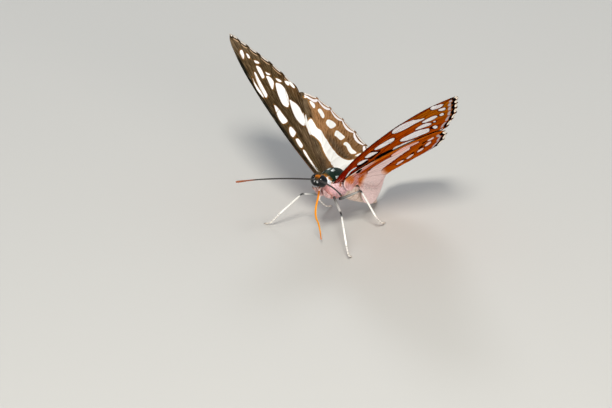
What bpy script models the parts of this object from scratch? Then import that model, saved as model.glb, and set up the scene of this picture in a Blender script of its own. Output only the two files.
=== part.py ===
# Common sergeant butterfly, life size, standing with its wings half raised.
# Lengths are in millimetres and become metres where a mesh is made. +Z is up, the head looks
# towards -Y and +X is the butterfly's left. Body places are (left, rear, up) from the middle of
# the line between the two forewing hinges, along the pitched body.

import math

import bpy
import numpy as np
from mathutils import Vector
from mathutils.geometry import delaunay_2d_cdt

MM = 0.001
GAP = 0.3                      # clear space kept between neighbouring nodes

# Stance
HINGE_HEIGHT = 12.0            # wing hinges above the floor
BODY_PITCH = math.radians(28.6)
HEAD_DROOP = math.radians(35.0)

# Wings: x runs from the hinge to the forewing apex, y across it to the rear
HINGE_HALF = 2.0               # hinge to the middle plane
DIHEDRAL = math.radians(45.7)
SWEEP = math.radians(16.3)     # hinge-to-apex line, forward of square to the body
FORE_LENGTH = 33.0
TIP_SAG = 1.26                 # how far the apex bends towards the underside
REAR_LIFT = {"left": 0.055, "right": 0.0}   # slope of a wing's rear part towards the upper side
WING_HALF = 0.25               # half the membrane's thickness
VEIN_HEIGHT = 0.2              # ridge above each face
VEIN_WIDTH = 0.42              # from a vein's crest to its foot
HIND_DROP = 0.8                # hindwing below the forewing where they lap
LAP_PLACE = (1.0, 0.5)         # a point of the forewing's rear edge, and the way off it to the rear
LAP_ACROSS = (-0.61, 0.7925)
HIND_STEP = {"left": 0.7, "right": 1.15}    # how far it comes up again behind that edge
STEP_START = 0.2
STEP_LENGTH = 2.2
LAP_POINTS = [2.0 + 1.6 * k for k in range(12)]   # along that edge, where the step begins
HIND_RISE = {"left": 0.04, "right": 0.08}   # and its slope from there to the margin
ROOT_HOLD = 2.0                # the step starts this much later at the root
ROOT_LENGTH = 4.0
HIND_CURL = 0.035              # upward curl of its rear margin
CURL_START = 10.0
FOLD_START = 2.2               # where the hindwing starts to wrap round the abdomen
FOLD_RADIUS = 2.5
FOLD_TURN = math.radians(46.0)
SCALLOP = 0.4                  # depth of the margin between two vein ends
CREST_STEP = 2.0               # points along a vein, and of the loose fill between the veins
FILL_STEP = 2.4
POINT_CLEAR = 0.42             # nearest that two points of a wing's plan come
FILL_CLEAR = 1.3
EDGE_CLEAR = 0.8

FORE_COSTA = [(-1.6, -2.2), (0.4, -2.8), (2.5, -3.6), (5.5, -4.5), (9.0, -5.3), (13.0, -5.8), (17.0, -5.9),
              (21.0, -5.7), (24.5, -5.1), (27.5, -4.2), (30.0, -3.0), (32.0, -1.6), (33.0, -0.2)]
FORE_ENDS = [(33.0, -0.2), (33.0, 0.7), (31.8, 2.3), (30.1, 4.3), (27.8, 6.7), (25.2, 9.3),
             (22.3, 11.4), (19.1, 13.2)]
FORE_DORSUM = [(19.1, 13.2), (18.1, 13.3), (16.5, 12.4), (14.1, 10.5), (11.5, 8.3), (8.5, 5.8),
               (5.5, 3.5), (2.5, 1.6), (-1.4, 0.7)]
FORE_VEINS = [
    [(-1.0, -1.9), (3.0, -3.2), (8.0, -4.5), (12.5, -5.2), (16.5, -5.5)],
    [(-1.0, -1.3), (3.0, -2.5), (8.0, -3.8), (12.5, -4.4), (15.0, -4.4), (20.0, -3.9), (25.0, -2.6),
     (32.0, -0.2)],
    [(12.5, -4.4), (17.0, -4.9), (22.0, -5.2)],
    [(20.0, -3.9), (24.5, -3.9), (29.0, -3.2)],
    [(15.0, -4.4), (19.0, -3.7), (24.0, -1.5), (28.3, 0.3), (31.2, 2.0)],
    [(15.2, -3.3), (19.0, -2.0), (24.0, 0.6), (27.2, 2.5), (29.5, 3.9)],
    [(15.5, -0.9), (19.5, 0.6), (23.5, 3.0), (27.2, 6.2)],
    [(-1.0, -0.3), (4.0, 0.3), (9.0, 0.6), (13.0, 0.0), (15.5, -0.9), (15.2, -3.3), (15.0, -4.4)],
    [(13.0, 0.0), (16.0, 0.9), (19.5, 3.3), (22.5, 5.9), (24.7, 8.7)],
    [(9.0, 0.6), (12.5, 3.2), (16.5, 5.1), (19.5, 8.0), (22.0, 11.2)],
    [(-0.6, 0.1), (4.0, 1.7), (9.0, 4.9), (13.6, 8.8), (18.5, 12.6)],
]
HIND_COSTA = [(-0.6, 0.3), (1.2, -0.9), (4.0, -0.6), (8.0, 1.2), (12.0, 3.8), (15.2, 6.9), (17.1, 10.0),
              (17.6, 12.2), (17.2, 14.1)]
HIND_ENDS = [(17.2, 14.1), (15.0, 17.5), (12.0, 19.9), (8.7, 21.5), (5.1, 21.9), (1.7, 21.3), (-1.3, 20.4),
             (-3.6, 19.0)]
HIND_INNER = [(-3.6, 19.0), (-5.4, 17.7), (-6.6, 15.5), (-7.1, 13.0), (-6.5, 10.4), (-5.0, 8.1), (-2.3, 6.5),
              (-0.5, 5.3), (0.1, 4.1), (-1.4, 2.8)]
HIND_VEINS = [
    [(-0.4, 0.9), (3.0, 0.8), (8.0, 3.0), (12.5, 6.3), (16.7, 12.2)],
    [(0.0, 1.7), (3.5, 3.2), (8.5, 7.2), (13.6, 11.9), (16.6, 14.0)],
    [(3.5, 3.2), (6.5, 7.2), (11.0, 13.0), (14.6, 17.0)],
    [(5.0, 5.2), (6.2, 9.0), (9.0, 14.6), (11.7, 19.3)],
    [(4.2, 6.4), (5.0, 10.5), (6.6, 15.2), (8.5, 20.8)],
    [(-0.3, 2.6), (2.0, 5.0), (3.6, 9.5), (3.9, 15.5), (5.0, 21.2)],
    [(2.0, 5.0), (2.2, 9.5), (1.1, 15.5), (1.6, 20.6)],
    [(-0.7, 3.4), (0.3, 9.0), (-1.0, 15.5), (-1.3, 19.7)],
    [(-0.3, 4.6), (-2.4, 9.5), (-4.0, 14.0), (-3.9, 18.0)],
]

# Body: (rear, up, half width, half height) of each ring
THORAX = [(-4.2, -0.2, 0.5, 0.6), (-3.9, -0.2, 0.95, 1.2), (-3.2, -0.25, 1.5, 1.85),
          (-2.0, -0.35, 2.1, 2.6), (-0.6, -0.45, 2.45, 3.05), (1.0, -0.5, 2.5, 3.15),
          (2.5, -0.6, 2.3, 2.8), (3.6, -0.75, 1.85, 2.2), (4.3, -0.85, 1.3, 1.6), (4.6, -0.9, 0.7, 0.9)]
ABDOMEN = [(3.2, -0.95, 0.95, 1.15), (5.0, -1.2, 1.35, 1.65), (7.5, -1.35, 1.65, 1.95),
           (10.5, -1.5, 1.7, 2.0), (13.5, -1.75, 1.55, 1.8), (16.3, -2.15, 1.2, 1.35),
           (18.6, -2.55, 0.8, 0.85), (20.0, -2.75, 0.35, 0.4)]
SEGMENTS = 8                   # rings of the abdomen that show
HEAD_PLACE = (0.0, -5.6, -0.5)
HEAD_RADII = (0.6, 1.15, 1.35)
EYE_RADII = (1.2, 1.2, 1.32)
EYE_OUT = 0.5                  # centre of an eye from the middle plane
EYE_BASE = 0.9                 # the flat where an eye meets the head

# Feelers, tongue and legs, as points left, rear and height from the floor under the hinges
ANTENNA_TIPS = {"left": (11.6, -15.6, 19.0), "right": (-10.2, -18.3, 16.9)}
ANTENNA_RADII = [0.26, 0.25, 0.25, 0.25, 0.26, 0.32, 0.44, 0.42, 0.18]
PROBOSCIS = [(0.0, -4.85, 12.75), (0.0, -5.1, 12.1), (0.0, -5.45, 10.7), (0.0, -6.1, 9.3),
             (0.0, -6.35, 7.8), (0.0, -6.05, 6.4), (0.0, -5.4, 5.2), (0.0, -4.75, 3.2), (0.0, -4.3, 1.0)]
PROBOSCIS_RADIUS = 0.27
LEGS = {
    "mid_right": [(-1.3, -1.7, 9.3), (-6.58, -0.88, 7.56), (-10.4, -3.23, 3.0), (-12.1, -3.4, 0.85),
                  (-13.4, -3.4, 0.2)],
    "mid_left": [(1.3, -1.7, 9.3), (5.31, -5.63, 8.72), (7.76, -7.61, 3.41), (7.8, -6.9, 1.2),
                 (7.6, -5.7, 0.2)],
    "hind_right": [(-1.3, 0.35, 8.1), (-4.3, 3.1, 9.6), (-6.5, 5.2, 3.5), (-6.5, 7.6, 1.1), (-6.4, 9.5, 0.2)],
    "hind_left": [(1.3, 0.35, 8.1), (4.3, 3.1, 9.6), (6.47, 5.21, 3.5), (6.3, 7.5, 1.2), (6.06, 9.3, 0.2)],
}
LEG_RADII = [0.42, 0.36, 0.31, 0.27, 0.24]
FORELEG = [(0.75, -1.4, -3.1), (0.85, -2.7, -2.95), (0.95, -3.7, -2.6), (0.95, -4.4, -2.2)]
FORELEG_RADII = [0.5, 0.52, 0.42, 0.2]
PALP = [(0.35, 0.8, -1.3), (0.4, 1.35, -1.0), (0.42, 1.7, -0.3), (0.4, 1.75, 0.35)]
PALP_RADII = [0.26, 0.3, 0.27, 0.14]

UP = np.array([0.0, math.sin(BODY_PITCH), math.cos(BODY_PITCH)])
REAR = np.array([0.0, math.cos(BODY_PITCH), -math.sin(BODY_PITCH)])
LEFT = np.array([1.0, 0.0, 0.0])
HINGE = np.array([0.0, 0.0, HINGE_HEIGHT])
HEAD_FRONT = np.array([0.0, -math.cos(HEAD_DROOP), -math.sin(HEAD_DROOP)])
HEAD_REAR = -HEAD_FRONT
HEAD_UP = np.array([0.0, -math.sin(HEAD_DROOP), math.cos(HEAD_DROOP)])

COLOURS = {                    # base colour and roughness of each part
    "wing": ((0.075, 0.043, 0.022), 0.7),
    "thorax": ((0.02, 0.03, 0.027), 0.45),
    "abdomen": ((0.06, 0.04, 0.03), 0.7),
    "head": ((0.02, 0.022, 0.022), 0.6),
    "eye": ((0.012, 0.016, 0.018), 0.15),
    "antenna": ((0.03, 0.022, 0.018), 0.5),
    "palp": ((0.62, 0.5, 0.46), 0.8),
    "proboscis": ((0.75, 0.36, 0.03), 0.4),
    "leg": ((0.68, 0.66, 0.62), 0.6),
}


def body_point(left, rear, up):
    return HINGE + left * LEFT + rear * REAR + up * UP


def head_point(left, front, up):
    return body_point(*HEAD_PLACE) + left * LEFT + front * HEAD_FRONT + up * HEAD_UP


# Meshes

def material(kind):
    if kind in bpy.data.materials:
        return bpy.data.materials[kind]
    colour, roughness = COLOURS[kind]
    made = bpy.data.materials.new(kind)
    made.use_nodes = True
    shader = made.node_tree.nodes["Principled BSDF"]
    shader.inputs["Base Color"].default_value = (*colour, 1.0)
    shader.inputs["Roughness"].default_value = roughness
    return made


def add_object(name, points, faces, kind):
    mesh = bpy.data.meshes.new(name)
    mesh.from_pydata([tuple(MM * c for c in p) for p in points], [], faces)
    mesh.materials.append(material(kind))
    mesh.shade_smooth()
    mesh.set_sharp_from_angle(angle=math.radians(40))
    made = bpy.data.objects.new(name, mesh)
    bpy.context.scene.collection.objects.link(made)
    return made


def tube_faces(rings, sides):
    # quads between neighbouring rings, and a fan of one face over each end
    faces = [tuple(reversed(range(sides)))]
    for r in range(rings - 1):
        for s in range(sides):
            t = (s + 1) % sides
            faces.append((r * sides + s, r * sides + t, (r + 1) * sides + t, (r + 1) * sides + s))
    faces.append(tuple(range((rings - 1) * sides, rings * sides)))
    return faces


def ring_body(stations, sides, grow=0.0):
    # rings square to the body's length, wider and longer by grow
    points = []
    last = len(stations) - 1
    for i, (rear, up, wide, tall) in enumerate(stations):
        rear += grow * ((i == last) - (i == 0))
        for s in range(sides):
            turn = 2 * math.pi * s / sides
            side = (wide + grow) * math.cos(turn)
            points.append(body_point(side, rear, up + (tall + grow) * math.sin(turn)))
    return points, [tuple(reversed(face)) for face in tube_faces(len(stations), sides)]


def ellipsoid(centre, axes, radii, rings=8, sides=14):
    # latitude rings about the third axis
    points = []
    for r in range(rings + 1):
        tilt = math.pi * (r + 0.5) / (rings + 1) - math.pi / 2
        for s in range(sides):
            turn = 2 * math.pi * s / sides
            offset = (radii[0] * math.cos(tilt) * math.cos(turn) * axes[0]
                      + radii[1] * math.cos(tilt) * math.sin(turn) * axes[1]
                      + radii[2] * math.sin(tilt) * axes[2])
            points.append(centre + offset)
    return points, tube_faces(rings + 1, sides)


def unit(vector):
    return vector / np.linalg.norm(vector)


def curve_through(points, count):
    # Catmull-Rom curve through the points, read at even steps of its length
    keys = np.array(points, float)
    padded = np.vstack([2 * keys[0] - keys[1], keys, 2 * keys[-1] - keys[-2]])
    fine = []
    for i in range(len(keys) - 1):
        a, b, c, d = padded[i:i + 4]
        for t in np.arange(0, 1, 0.05):
            fine.append(0.5 * (2 * b + (c - a) * t + (2 * a - 5 * b + 4 * c - d) * t ** 2
                               + (3 * b - a - 3 * c + d) * t ** 3))
    fine = np.array(fine + [keys[-1]])
    along = np.concatenate([[0], np.cumsum(np.linalg.norm(np.diff(fine, axis=0), axis=1))])
    steps = np.linspace(0, along[-1], count)
    return np.stack([np.interp(steps, along, fine[:, k]) for k in range(fine.shape[1])], 1)


def tube(path, radii, sides=8, start_plane=None, end_plane=None):
    # round tube along the path; a plane (point, normal) trims the ring at that end
    path = np.array(path, float)
    radii = np.interp(np.linspace(0, 1, len(path)), np.linspace(0, 1, len(radii)), radii)
    points = []
    side = np.array([0.3, 0.5, 0.8])
    for i, centre in enumerate(path):
        direction = unit(path[min(i + 1, len(path) - 1)] - path[max(i - 1, 0)])
        side = unit(side - (side @ direction) * direction)
        other = np.cross(direction, side)
        plane = start_plane if i == 0 else end_plane if i == len(path) - 1 else None
        for s in range(sides):
            turn = 2 * math.pi * s / sides
            p = centre + radii[i] * (math.cos(turn) * side + math.sin(turn) * other)
            if plane is not None:
                p = p + direction * ((plane[0] - p) @ plane[1]) / (direction @ plane[1])
            points.append(p)
    return points, tube_faces(len(path), sides)


def boolean(target, cutters, operation):
    # every cutter in one go; the cutters are removed afterwards
    group = bpy.data.collections.new("cutters")
    for cutter in cutters:
        group.objects.link(cutter)
    change = target.modifiers.new("join", "BOOLEAN")
    change.operation = operation
    change.operand_type = "COLLECTION"
    change.collection = group
    change.solver = "EXACT"
    bpy.context.view_layer.update()
    result = bpy.data.meshes.new_from_object(target.evaluated_get(bpy.context.evaluated_depsgraph_get()))
    target.modifiers.remove(change)
    target.data = result
    for cutter in cutters:
        bpy.data.objects.remove(cutter)
    bpy.data.collections.remove(group)
    keep_largest(target)


def keep_largest(target):
    # drops loose scraps that a cut leaves behind
    mesh = target.data
    near = [[] for _ in mesh.vertices]
    for edge in mesh.edges:
        a, b = edge.vertices
        near[a].append(b)
        near[b].append(a)
    seen = [-1] * len(near)
    pieces = []
    for start in range(len(near)):
        if seen[start] >= 0:
            continue
        stack = [start]
        seen[start] = len(pieces)
        piece = []
        while stack:
            v = stack.pop()
            piece.append(v)
            for other in near[v]:
                if seen[other] < 0:
                    seen[other] = len(pieces)
                    stack.append(other)
        pieces.append(piece)
    if len(pieces) < 2:
        return
    best = max(range(len(pieces)), key=lambda k: len(pieces[k]))
    order = {v: i for i, v in enumerate(sorted(pieces[best]))}
    points = [mesh.vertices[v].co.copy() for v in sorted(pieces[best])]
    faces = [[order[v] for v in face.vertices] for face in mesh.polygons if seen[face.vertices[0]] == best]
    kept = bpy.data.meshes.new(mesh.name)
    kept.from_pydata(points, [], faces)
    for used in mesh.materials:
        kept.materials.append(used)
    target.data = kept


def grown_thorax():
    points, faces = ring_body(THORAX, 20, GAP)
    return add_object("cut_thorax", points, faces, "thorax")


# Wings

def scallops(ends):
    # the margin bows inwards between each two vein ends
    outline = []
    middle = np.mean(ends, axis=0) * 0.5
    for a, b in zip(np.array(ends[:-1]), np.array(ends[1:])):
        length = np.linalg.norm(b - a)
        inward = unit(np.array([-(b - a)[1], (b - a)[0]]))
        if inward @ (middle - a) < 0:
            inward = -inward
        steps = 4 if length > 2 else 1
        for k in range(steps):
            t = k / steps
            outline.append(a + (b - a) * t + inward * SCALLOP * 4 * t * (1 - t) * (steps > 1))
    return outline + [np.array(ends[-1])]


def wing_outline(costa, ends, inner):
    front = list(curve_through(costa, len(costa) * 3))
    rear = list(curve_through(inner, len(inner) * 3))
    return np.array(front[:-1] + scallops(ends) + rear[1:])


def line_distance(p, line):
    # distance to a chain of straight lengths, and how far along it that is, from 0 to 1
    a, b = line[:-1], line[1:]
    d = b - a
    t = np.clip(np.sum((p - a) * d, 1) / np.maximum(np.sum(d * d, 1), 1e-9), 0, 1)
    gaps = np.linalg.norm(p - a - d * t[:, None], axis=1)
    k = int(np.argmin(gaps))
    return gaps[k], (k + t[k]) / len(a)


def inside(p, outline):
    a, b = outline, np.roll(outline, -1, 0)
    crosses = (a[:, 1] > p[1]) != (b[:, 1] > p[1])
    spans = np.where(crosses, b[:, 1] - a[:, 1], 1.0)
    return bool(np.sum(crosses & (p[0] < (b[:, 0] - a[:, 0]) * (p[1] - a[:, 1]) / spans + a[:, 0])) % 2)


def clear_of(p, outline):
    # 0 within the other wing's outline, 1 a little outside it
    if inside(p, outline):
        return 0.0
    return min(1.0, line_distance(p, np.vstack([outline, outline[:1]]))[0] / EDGE_CLEAR)


def chain_length(points):
    return np.sum(np.linalg.norm(np.diff(points, axis=0), axis=1))


def wing_plan(outline, veins, bend):
    # flat triangles: the outline, a row of points along each vein's crest and each foot, the points of
    # a bend, and a loose fill
    points = list(outline) + [p for p in bend if inside(p, outline)]
    closed = np.vstack([outline, outline[:1]])
    edges = []

    def nearest(p):
        gaps = np.linalg.norm(np.array(points) - p, axis=1)
        k = int(np.argmin(gaps))
        return k, gaps[k]

    crests = []
    for vein in veins:
        line = curve_through(vein, max(3, int(chain_length(vein) / CREST_STEP) + 1))
        crests.append(line)
        previous = None
        for p in line:
            if not inside(p, outline):
                continue
            k, gap = nearest(p)
            if gap > POINT_CLEAR:
                points.append(p)
                k = len(points) - 1
            if previous is not None and k != previous:
                edges.append((previous, k))
            previous = k
    for line in crests:
        for a, b in zip(line[:-1], line[1:]):
            across = unit(np.array([-(b - a)[1], (b - a)[0]])) * VEIN_WIDTH
            for p in ((a + b) / 2 + across, (a + b) / 2 - across):
                near_vein = min(line_distance(p, other)[0] for other in crests)
                clear = min(nearest(p)[1], line_distance(p, closed)[0])
                if near_vein > 0.85 * VEIN_WIDTH and inside(p, outline) and clear > POINT_CLEAR:
                    points.append(p)
    low, high = outline.min(0), outline.max(0)
    for x in np.arange(low[0], high[0], FILL_STEP):
        for y in np.arange(low[1], high[1], FILL_STEP):
            p = np.array([x, y])
            if inside(p, outline) and nearest(p)[1] > FILL_CLEAR and line_distance(p, closed)[0] > EDGE_CLEAR:
                points.append(p)
    plan = delaunay_2d_cdt([Vector(p) for p in points], edges, [list(range(len(outline)))], 1, 1e-5)
    return np.array([tuple(v) for v in plan[0]]), plan[2], crests


def ridge(p, crests):
    # height of the vein at a point of the plan, fading out towards its far end
    best = 0.0
    for line in crests:
        gap, along = line_distance(p, line)
        if gap < VEIN_WIDTH:
            best = max(best, (1 - gap / VEIN_WIDTH) * min(1.0, (1.05 - along) * 6))
    return VEIN_HEIGHT * best


def fore_sheet(x, y, side):
    return np.array([x, y, REAR_LIFT[side] * max(y, 0.0) - TIP_SAG * (max(x, 0.0) / FORE_LENGTH) ** 2])


def hind_sheet(x, y, side):
    # lies under the forewing, comes up behind it, and wraps down beside the abdomen
    out_x, out_y = math.cos(SWEEP), math.sin(SWEEP)
    out = out_x * x + out_y * y
    beyond = LAP_ACROSS[0] * (x - LAP_PLACE[0]) + LAP_ACROSS[1] * (y - LAP_PLACE[1])
    beyond -= ROOT_HOLD * max(0.0, 1 - out / ROOT_LENGTH)
    climb = min(max((beyond - STEP_START) / STEP_LENGTH, 0.0), 1.0)
    z = fore_sheet(x, y, side)[2] - HIND_DROP + HIND_STEP[side] * climb * climb * (3 - 2 * climb)
    z += HIND_RISE[side] * max(beyond, 0.0) + HIND_CURL * max(beyond - CURL_START, 0.0) ** 2
    if out < FOLD_START:
        arc = FOLD_START - out
        turn = min(arc / FOLD_RADIUS, FOLD_TURN)
        rest = max(0.0, arc - FOLD_RADIUS * FOLD_TURN)
        kept = FOLD_START - FOLD_RADIUS * math.sin(turn) - rest * math.cos(turn)
        x, y = x + (kept - out) * out_x, y + (kept - out) * out_y
        z -= FOLD_RADIUS * (1 - math.cos(turn)) + rest * math.sin(turn)
    return np.array([x, y, z])


OUTWARD = math.cos(DIHEDRAL) * LEFT + math.sin(DIHEDRAL) * UP
WING_X = math.cos(SWEEP) * OUTWARD - math.sin(SWEEP) * REAR
WING_Y = math.sin(SWEEP) * OUTWARD + math.cos(SWEEP) * REAR
WING_Z = np.cross(WING_X, WING_Y)


def wing_points(plan, sheet, side, heights):
    # the sheet's points moved along its normal by half the thickness and the vein's height, on both sides
    points = []
    step = 0.05
    for face in (1, -1):
        for (x, y), height in zip(plan, heights[face]):
            p = sheet(x, y, side)
            normal = unit(np.cross(sheet(x + step, y, side) - p, sheet(x, y + step, side) - p))
            p = p + face * (WING_HALF + height) * normal
            points.append(HINGE + HINGE_HALF * LEFT + p[0] * WING_X + p[1] * WING_Y + p[2] * WING_Z)
    return points


def wing_solid(name, sheet, outline, veins, bend, other_outline, covered_face):
    # upper and under side with the same triangles, and a narrow rim between them
    plan, triangles, crests = wing_plan(outline, veins, bend)
    count = len(plan)
    heights = {}
    for face in (1, -1):
        shown = [clear_of(p, other_outline) if face == covered_face else 1.0 for p in plan]
        heights[face] = [ridge(p, crests) * part for p, part in zip(plan, shown)]
    faces = []
    used = set()
    for a, b, c in triangles:
        if np.cross(plan[b] - plan[a], plan[c] - plan[a]) < 0:
            b, c = c, b
        faces += [(a, b, c), (a + count, c + count, b + count)]
        used.update([(a, b), (b, c), (c, a)])
    for i, j in sorted(used):
        if (j, i) not in used:
            faces += [(j, i, i + count), (j, i + count, j + count)]
    for side, mirror in (("left", 1), ("right", -1)):
        placed = [p * (mirror, 1, 1) for p in wing_points(plan, sheet, side, heights)]
        turned = faces if mirror > 0 else [tuple(reversed(f)) for f in faces]
        wing = add_object(f"{name}_{side}", placed, turned, "wing")
        cutters = [grown_thorax()]
        if name == "hindwing":
            cutters.append(grown_abdomen())
        boolean(wing, cutters, "DIFFERENCE")


def make_wings():
    fore = wing_outline(FORE_COSTA, FORE_ENDS, FORE_DORSUM)
    hind = wing_outline(HIND_COSTA, HIND_ENDS, HIND_INNER)
    place, across = np.array(LAP_PLACE), np.array(LAP_ACROSS)
    along = np.array([across[1], -across[0]])
    bend = [place + STEP_START * across + k * along for k in LAP_POINTS]
    wing_solid("forewing", fore_sheet, fore, FORE_VEINS, [], hind, -1)
    wing_solid("hindwing", hind_sheet, hind, HIND_VEINS, bend, fore, 1)


# Body

def abdomen_rings():
    # each segment bulges a little between its grooves
    rows = curve_through(ABDOMEN, SEGMENTS * 3 + 1)
    for i, row in enumerate(rows):
        row[2:] *= 1.0 if i % 3 else 0.95
    return rows


def grown_abdomen():
    points, faces = ring_body(curve_through(ABDOMEN, 12), 16, GAP + 0.05)
    return add_object("cut_abdomen", points, faces, "abdomen")


def make_body():
    add_object("thorax", *ring_body(THORAX, 20), "thorax")
    points, faces = ring_body(abdomen_rings(), 16)
    points = [np.array([x, y, max(z, 0.0)]) for x, y, z in points]
    abdomen = add_object("abdomen", points, faces, "abdomen")
    boolean(abdomen, [grown_thorax()], "DIFFERENCE")


def make_head():
    axes = (LEFT, HEAD_REAR, HEAD_UP)
    head = add_object("head", *ellipsoid(head_point(0, 0, 0), axes, HEAD_RADII, 10, 16), "head")
    neck_line = [head_point(0, -0.2, 0), body_point(0, -3.6, -0.3)]
    neck = add_object("neck", *tube(neck_line, [0.5, 0.5], 10), "head")
    boolean(head, [neck], "UNION")
    boolean(head, [grown_thorax()], "DIFFERENCE")
    for side, mirror in (("left", 1), ("right", -1)):
        centre = head_point(mirror * EYE_OUT, 0, 0)
        eye = add_object(f"eye_{side}", *ellipsoid(centre, axes, EYE_RADII, 10, 18), "eye")
        base = [head_point(-3 * mirror, 0, 0), head_point(EYE_BASE * mirror, 0, 0)]
        slab = add_object("slab", *tube(base, [4, 4], 4), "eye")
        boolean(eye, [slab, grown_thorax()], "DIFFERENCE")
        palp = [head_point(mirror * left, front, up) for left, front, up in PALP]
        made = add_object(f"palp_{side}", *tube(curve_through(palp, 8), PALP_RADII, 8), "palp")
        boolean(made, [grown_head()], "DIFFERENCE")
        make_antenna(side, mirror)
    points, faces = tube(curve_through(PROBOSCIS, 18), [PROBOSCIS_RADIUS] * 5 + [0.14], 8)
    boolean(add_object("proboscis", points, faces, "proboscis"), [grown_head()], "DIFFERENCE")


def grown_head():
    radii = [r + GAP for r in HEAD_RADII]
    axes = (LEFT, HEAD_REAR, HEAD_UP)
    return add_object("cut_head", *ellipsoid(head_point(0, 0, 0), axes, radii, 10, 16), "head")


def make_antenna(side, mirror):
    root = head_point(mirror * 0.3, 0.35, 0.9)
    tip = np.array(ANTENNA_TIPS[side])
    bow = unit(np.cross(tip - root, LEFT)) * 0.35
    path = [root, root + (tip - root) * 0.35 + bow, root + (tip - root) * 0.7 + bow, tip]
    feeler = add_object(f"antenna_{side}", *tube(curve_through(path, 25), ANTENNA_RADII, 8), "antenna")
    boolean(feeler, [grown_head()], "DIFFERENCE")


# Legs

def make_legs():
    for leg, joints in LEGS.items():
        joints = [np.array(p) for p in joints]
        bends = [None]
        for a, b, c in zip(joints[:-2], joints[1:-1], joints[2:]):
            bends.append(unit(unit(b - a) + unit(c - b)))
        for k, part in enumerate(("femur", "tibia", "tarsus")):
            start = None if k == 0 else (joints[k] + bends[k] * GAP / 2, bends[k])
            end = None if k == 2 else (joints[k + 1] - bends[k + 1] * GAP / 2, bends[k + 1])
            chain = joints[k:k + 2] if k < 2 else joints[2:]
            radii = LEG_RADII[k:k + 2] if k < 2 else LEG_RADII[2:]
            path = curve_through(chain, 7) if k == 2 else np.linspace(chain[0], chain[1], 5)
            points, faces = tube(path, radii, 8, start, end)
            points = [np.array([x, y, max(z, 0.0)]) for x, y, z in points]
            made = add_object(f"{leg}_{part}", points, faces, "leg")
            if k == 0:
                boolean(made, [grown_thorax()], "DIFFERENCE")
    for side, mirror in (("left", 1), ("right", -1)):
        path = [body_point(mirror * left, rear, up) for left, rear, up in FORELEG]
        made = add_object(f"foreleg_{side}", *tube(curve_through(path, 8), FORELEG_RADII, 10), "leg")
        boolean(made, [grown_thorax()], "DIFFERENCE")


def centre_on_floor():
    # one empty carries every part and puts the middle of the whole over the origin
    parts = [o for o in bpy.context.scene.objects if o.type == "MESH"]
    corners = np.array([v.co[:] for o in parts for v in o.data.vertices])
    carrier = bpy.data.objects.new("butterfly", None)
    bpy.context.scene.collection.objects.link(carrier)
    middle = (corners.min(0) + corners.max(0)) / 2
    carrier.location = (-middle[0], -middle[1], 0.0)
    for part in parts:
        part.parent = carrier


for old in list(bpy.data.objects):
    bpy.data.objects.remove(old)
make_wings()
make_body()
make_head()
make_legs()
centre_on_floor()
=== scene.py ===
import math

import bpy
import numpy as np
from mathutils import Matrix, Vector


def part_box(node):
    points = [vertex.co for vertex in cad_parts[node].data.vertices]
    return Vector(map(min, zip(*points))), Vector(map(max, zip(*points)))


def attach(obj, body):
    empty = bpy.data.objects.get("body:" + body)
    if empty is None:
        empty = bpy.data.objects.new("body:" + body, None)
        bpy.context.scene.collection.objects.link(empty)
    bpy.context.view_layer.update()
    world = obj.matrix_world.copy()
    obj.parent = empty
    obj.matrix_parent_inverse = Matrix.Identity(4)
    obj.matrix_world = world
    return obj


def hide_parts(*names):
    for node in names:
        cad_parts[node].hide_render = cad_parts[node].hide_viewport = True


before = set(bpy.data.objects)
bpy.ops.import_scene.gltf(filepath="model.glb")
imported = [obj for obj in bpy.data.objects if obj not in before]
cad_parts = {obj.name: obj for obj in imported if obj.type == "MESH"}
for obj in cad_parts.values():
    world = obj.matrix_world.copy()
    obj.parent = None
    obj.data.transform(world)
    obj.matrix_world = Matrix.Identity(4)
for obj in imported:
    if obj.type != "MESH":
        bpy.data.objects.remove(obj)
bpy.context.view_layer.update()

# How the butterfly stands, in millimetres and degrees: +X is its left, -Y the way it faces
stance = {
    "hinge": (0.0, 0.0, 12.0), "hingeHalf": 2.0,
    "pitch": 28.6, "droop": 35.0, "dihedral": 45.7, "sweep": 16.3,
    "head": (0.0, -5.6, -0.5),
}
mm = 0.001
mirrors = {"left": 1, "right": -1}
pitch, droop, dihedral, sweep = (math.radians(stance[k]) for k in ("pitch", "droop", "dihedral", "sweep"))
left = np.array([1.0, 0.0, 0.0])
up = np.array([0.0, math.sin(pitch), math.cos(pitch)])
rear = np.array([0.0, math.cos(pitch), -math.sin(pitch)])
headFront = np.array([0.0, -math.cos(droop), -math.sin(droop)])
headUp = np.array([0.0, -math.sin(droop), math.cos(droop)])
hinge = np.array(stance["hinge"])
outward = math.cos(dihedral) * left + math.sin(dihedral) * up
wingX = math.cos(sweep) * outward - math.sin(sweep) * rear
wingY = math.sin(sweep) * outward + math.cos(sweep) * rear
wingZ = np.cross(wingX, wingY)


# Curves, distances and colours

def bodyPoint(places):
    # hinge plus so far to the left, to the rear and up the body
    return hinge + np.asarray(places, float) @ np.array([left, rear, up])


def headPoint(places):
    # middle of the head plus so far to the left, to its front and up it
    return bodyPoint(stance["head"]) + np.asarray(places, float) @ np.array([left, headFront, headUp])


def unit(vectors):
    return vectors / np.maximum(np.linalg.norm(vectors, axis=-1, keepdims=True), 1e-9)


def soft(value, low, high):
    # smooth step from 0 at low to 1 at high, which may be the smaller one
    t = np.clip((np.asarray(value, float) - low) / (high - low), 0, 1)
    return t * t * (3 - 2 * t)


def bump(value, middle, width):
    # 1 at the middle, fading to 0 a few widths away
    return np.exp(-((np.asarray(value, float) - middle) / width) ** 2)


def rounded(way, reach, least):
    # the square root of the way left over its reach, which rounds off the end of a tube
    return np.sqrt(np.clip(way / reach, least, 1))


def ramp(values, places, rows):
    # rows of numbers, such as colours or points, read at values between rising places
    rows = np.asarray(rows, float)
    return np.stack([np.interp(values, places, rows[:, k]) for k in range(rows.shape[1])], 1)


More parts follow.
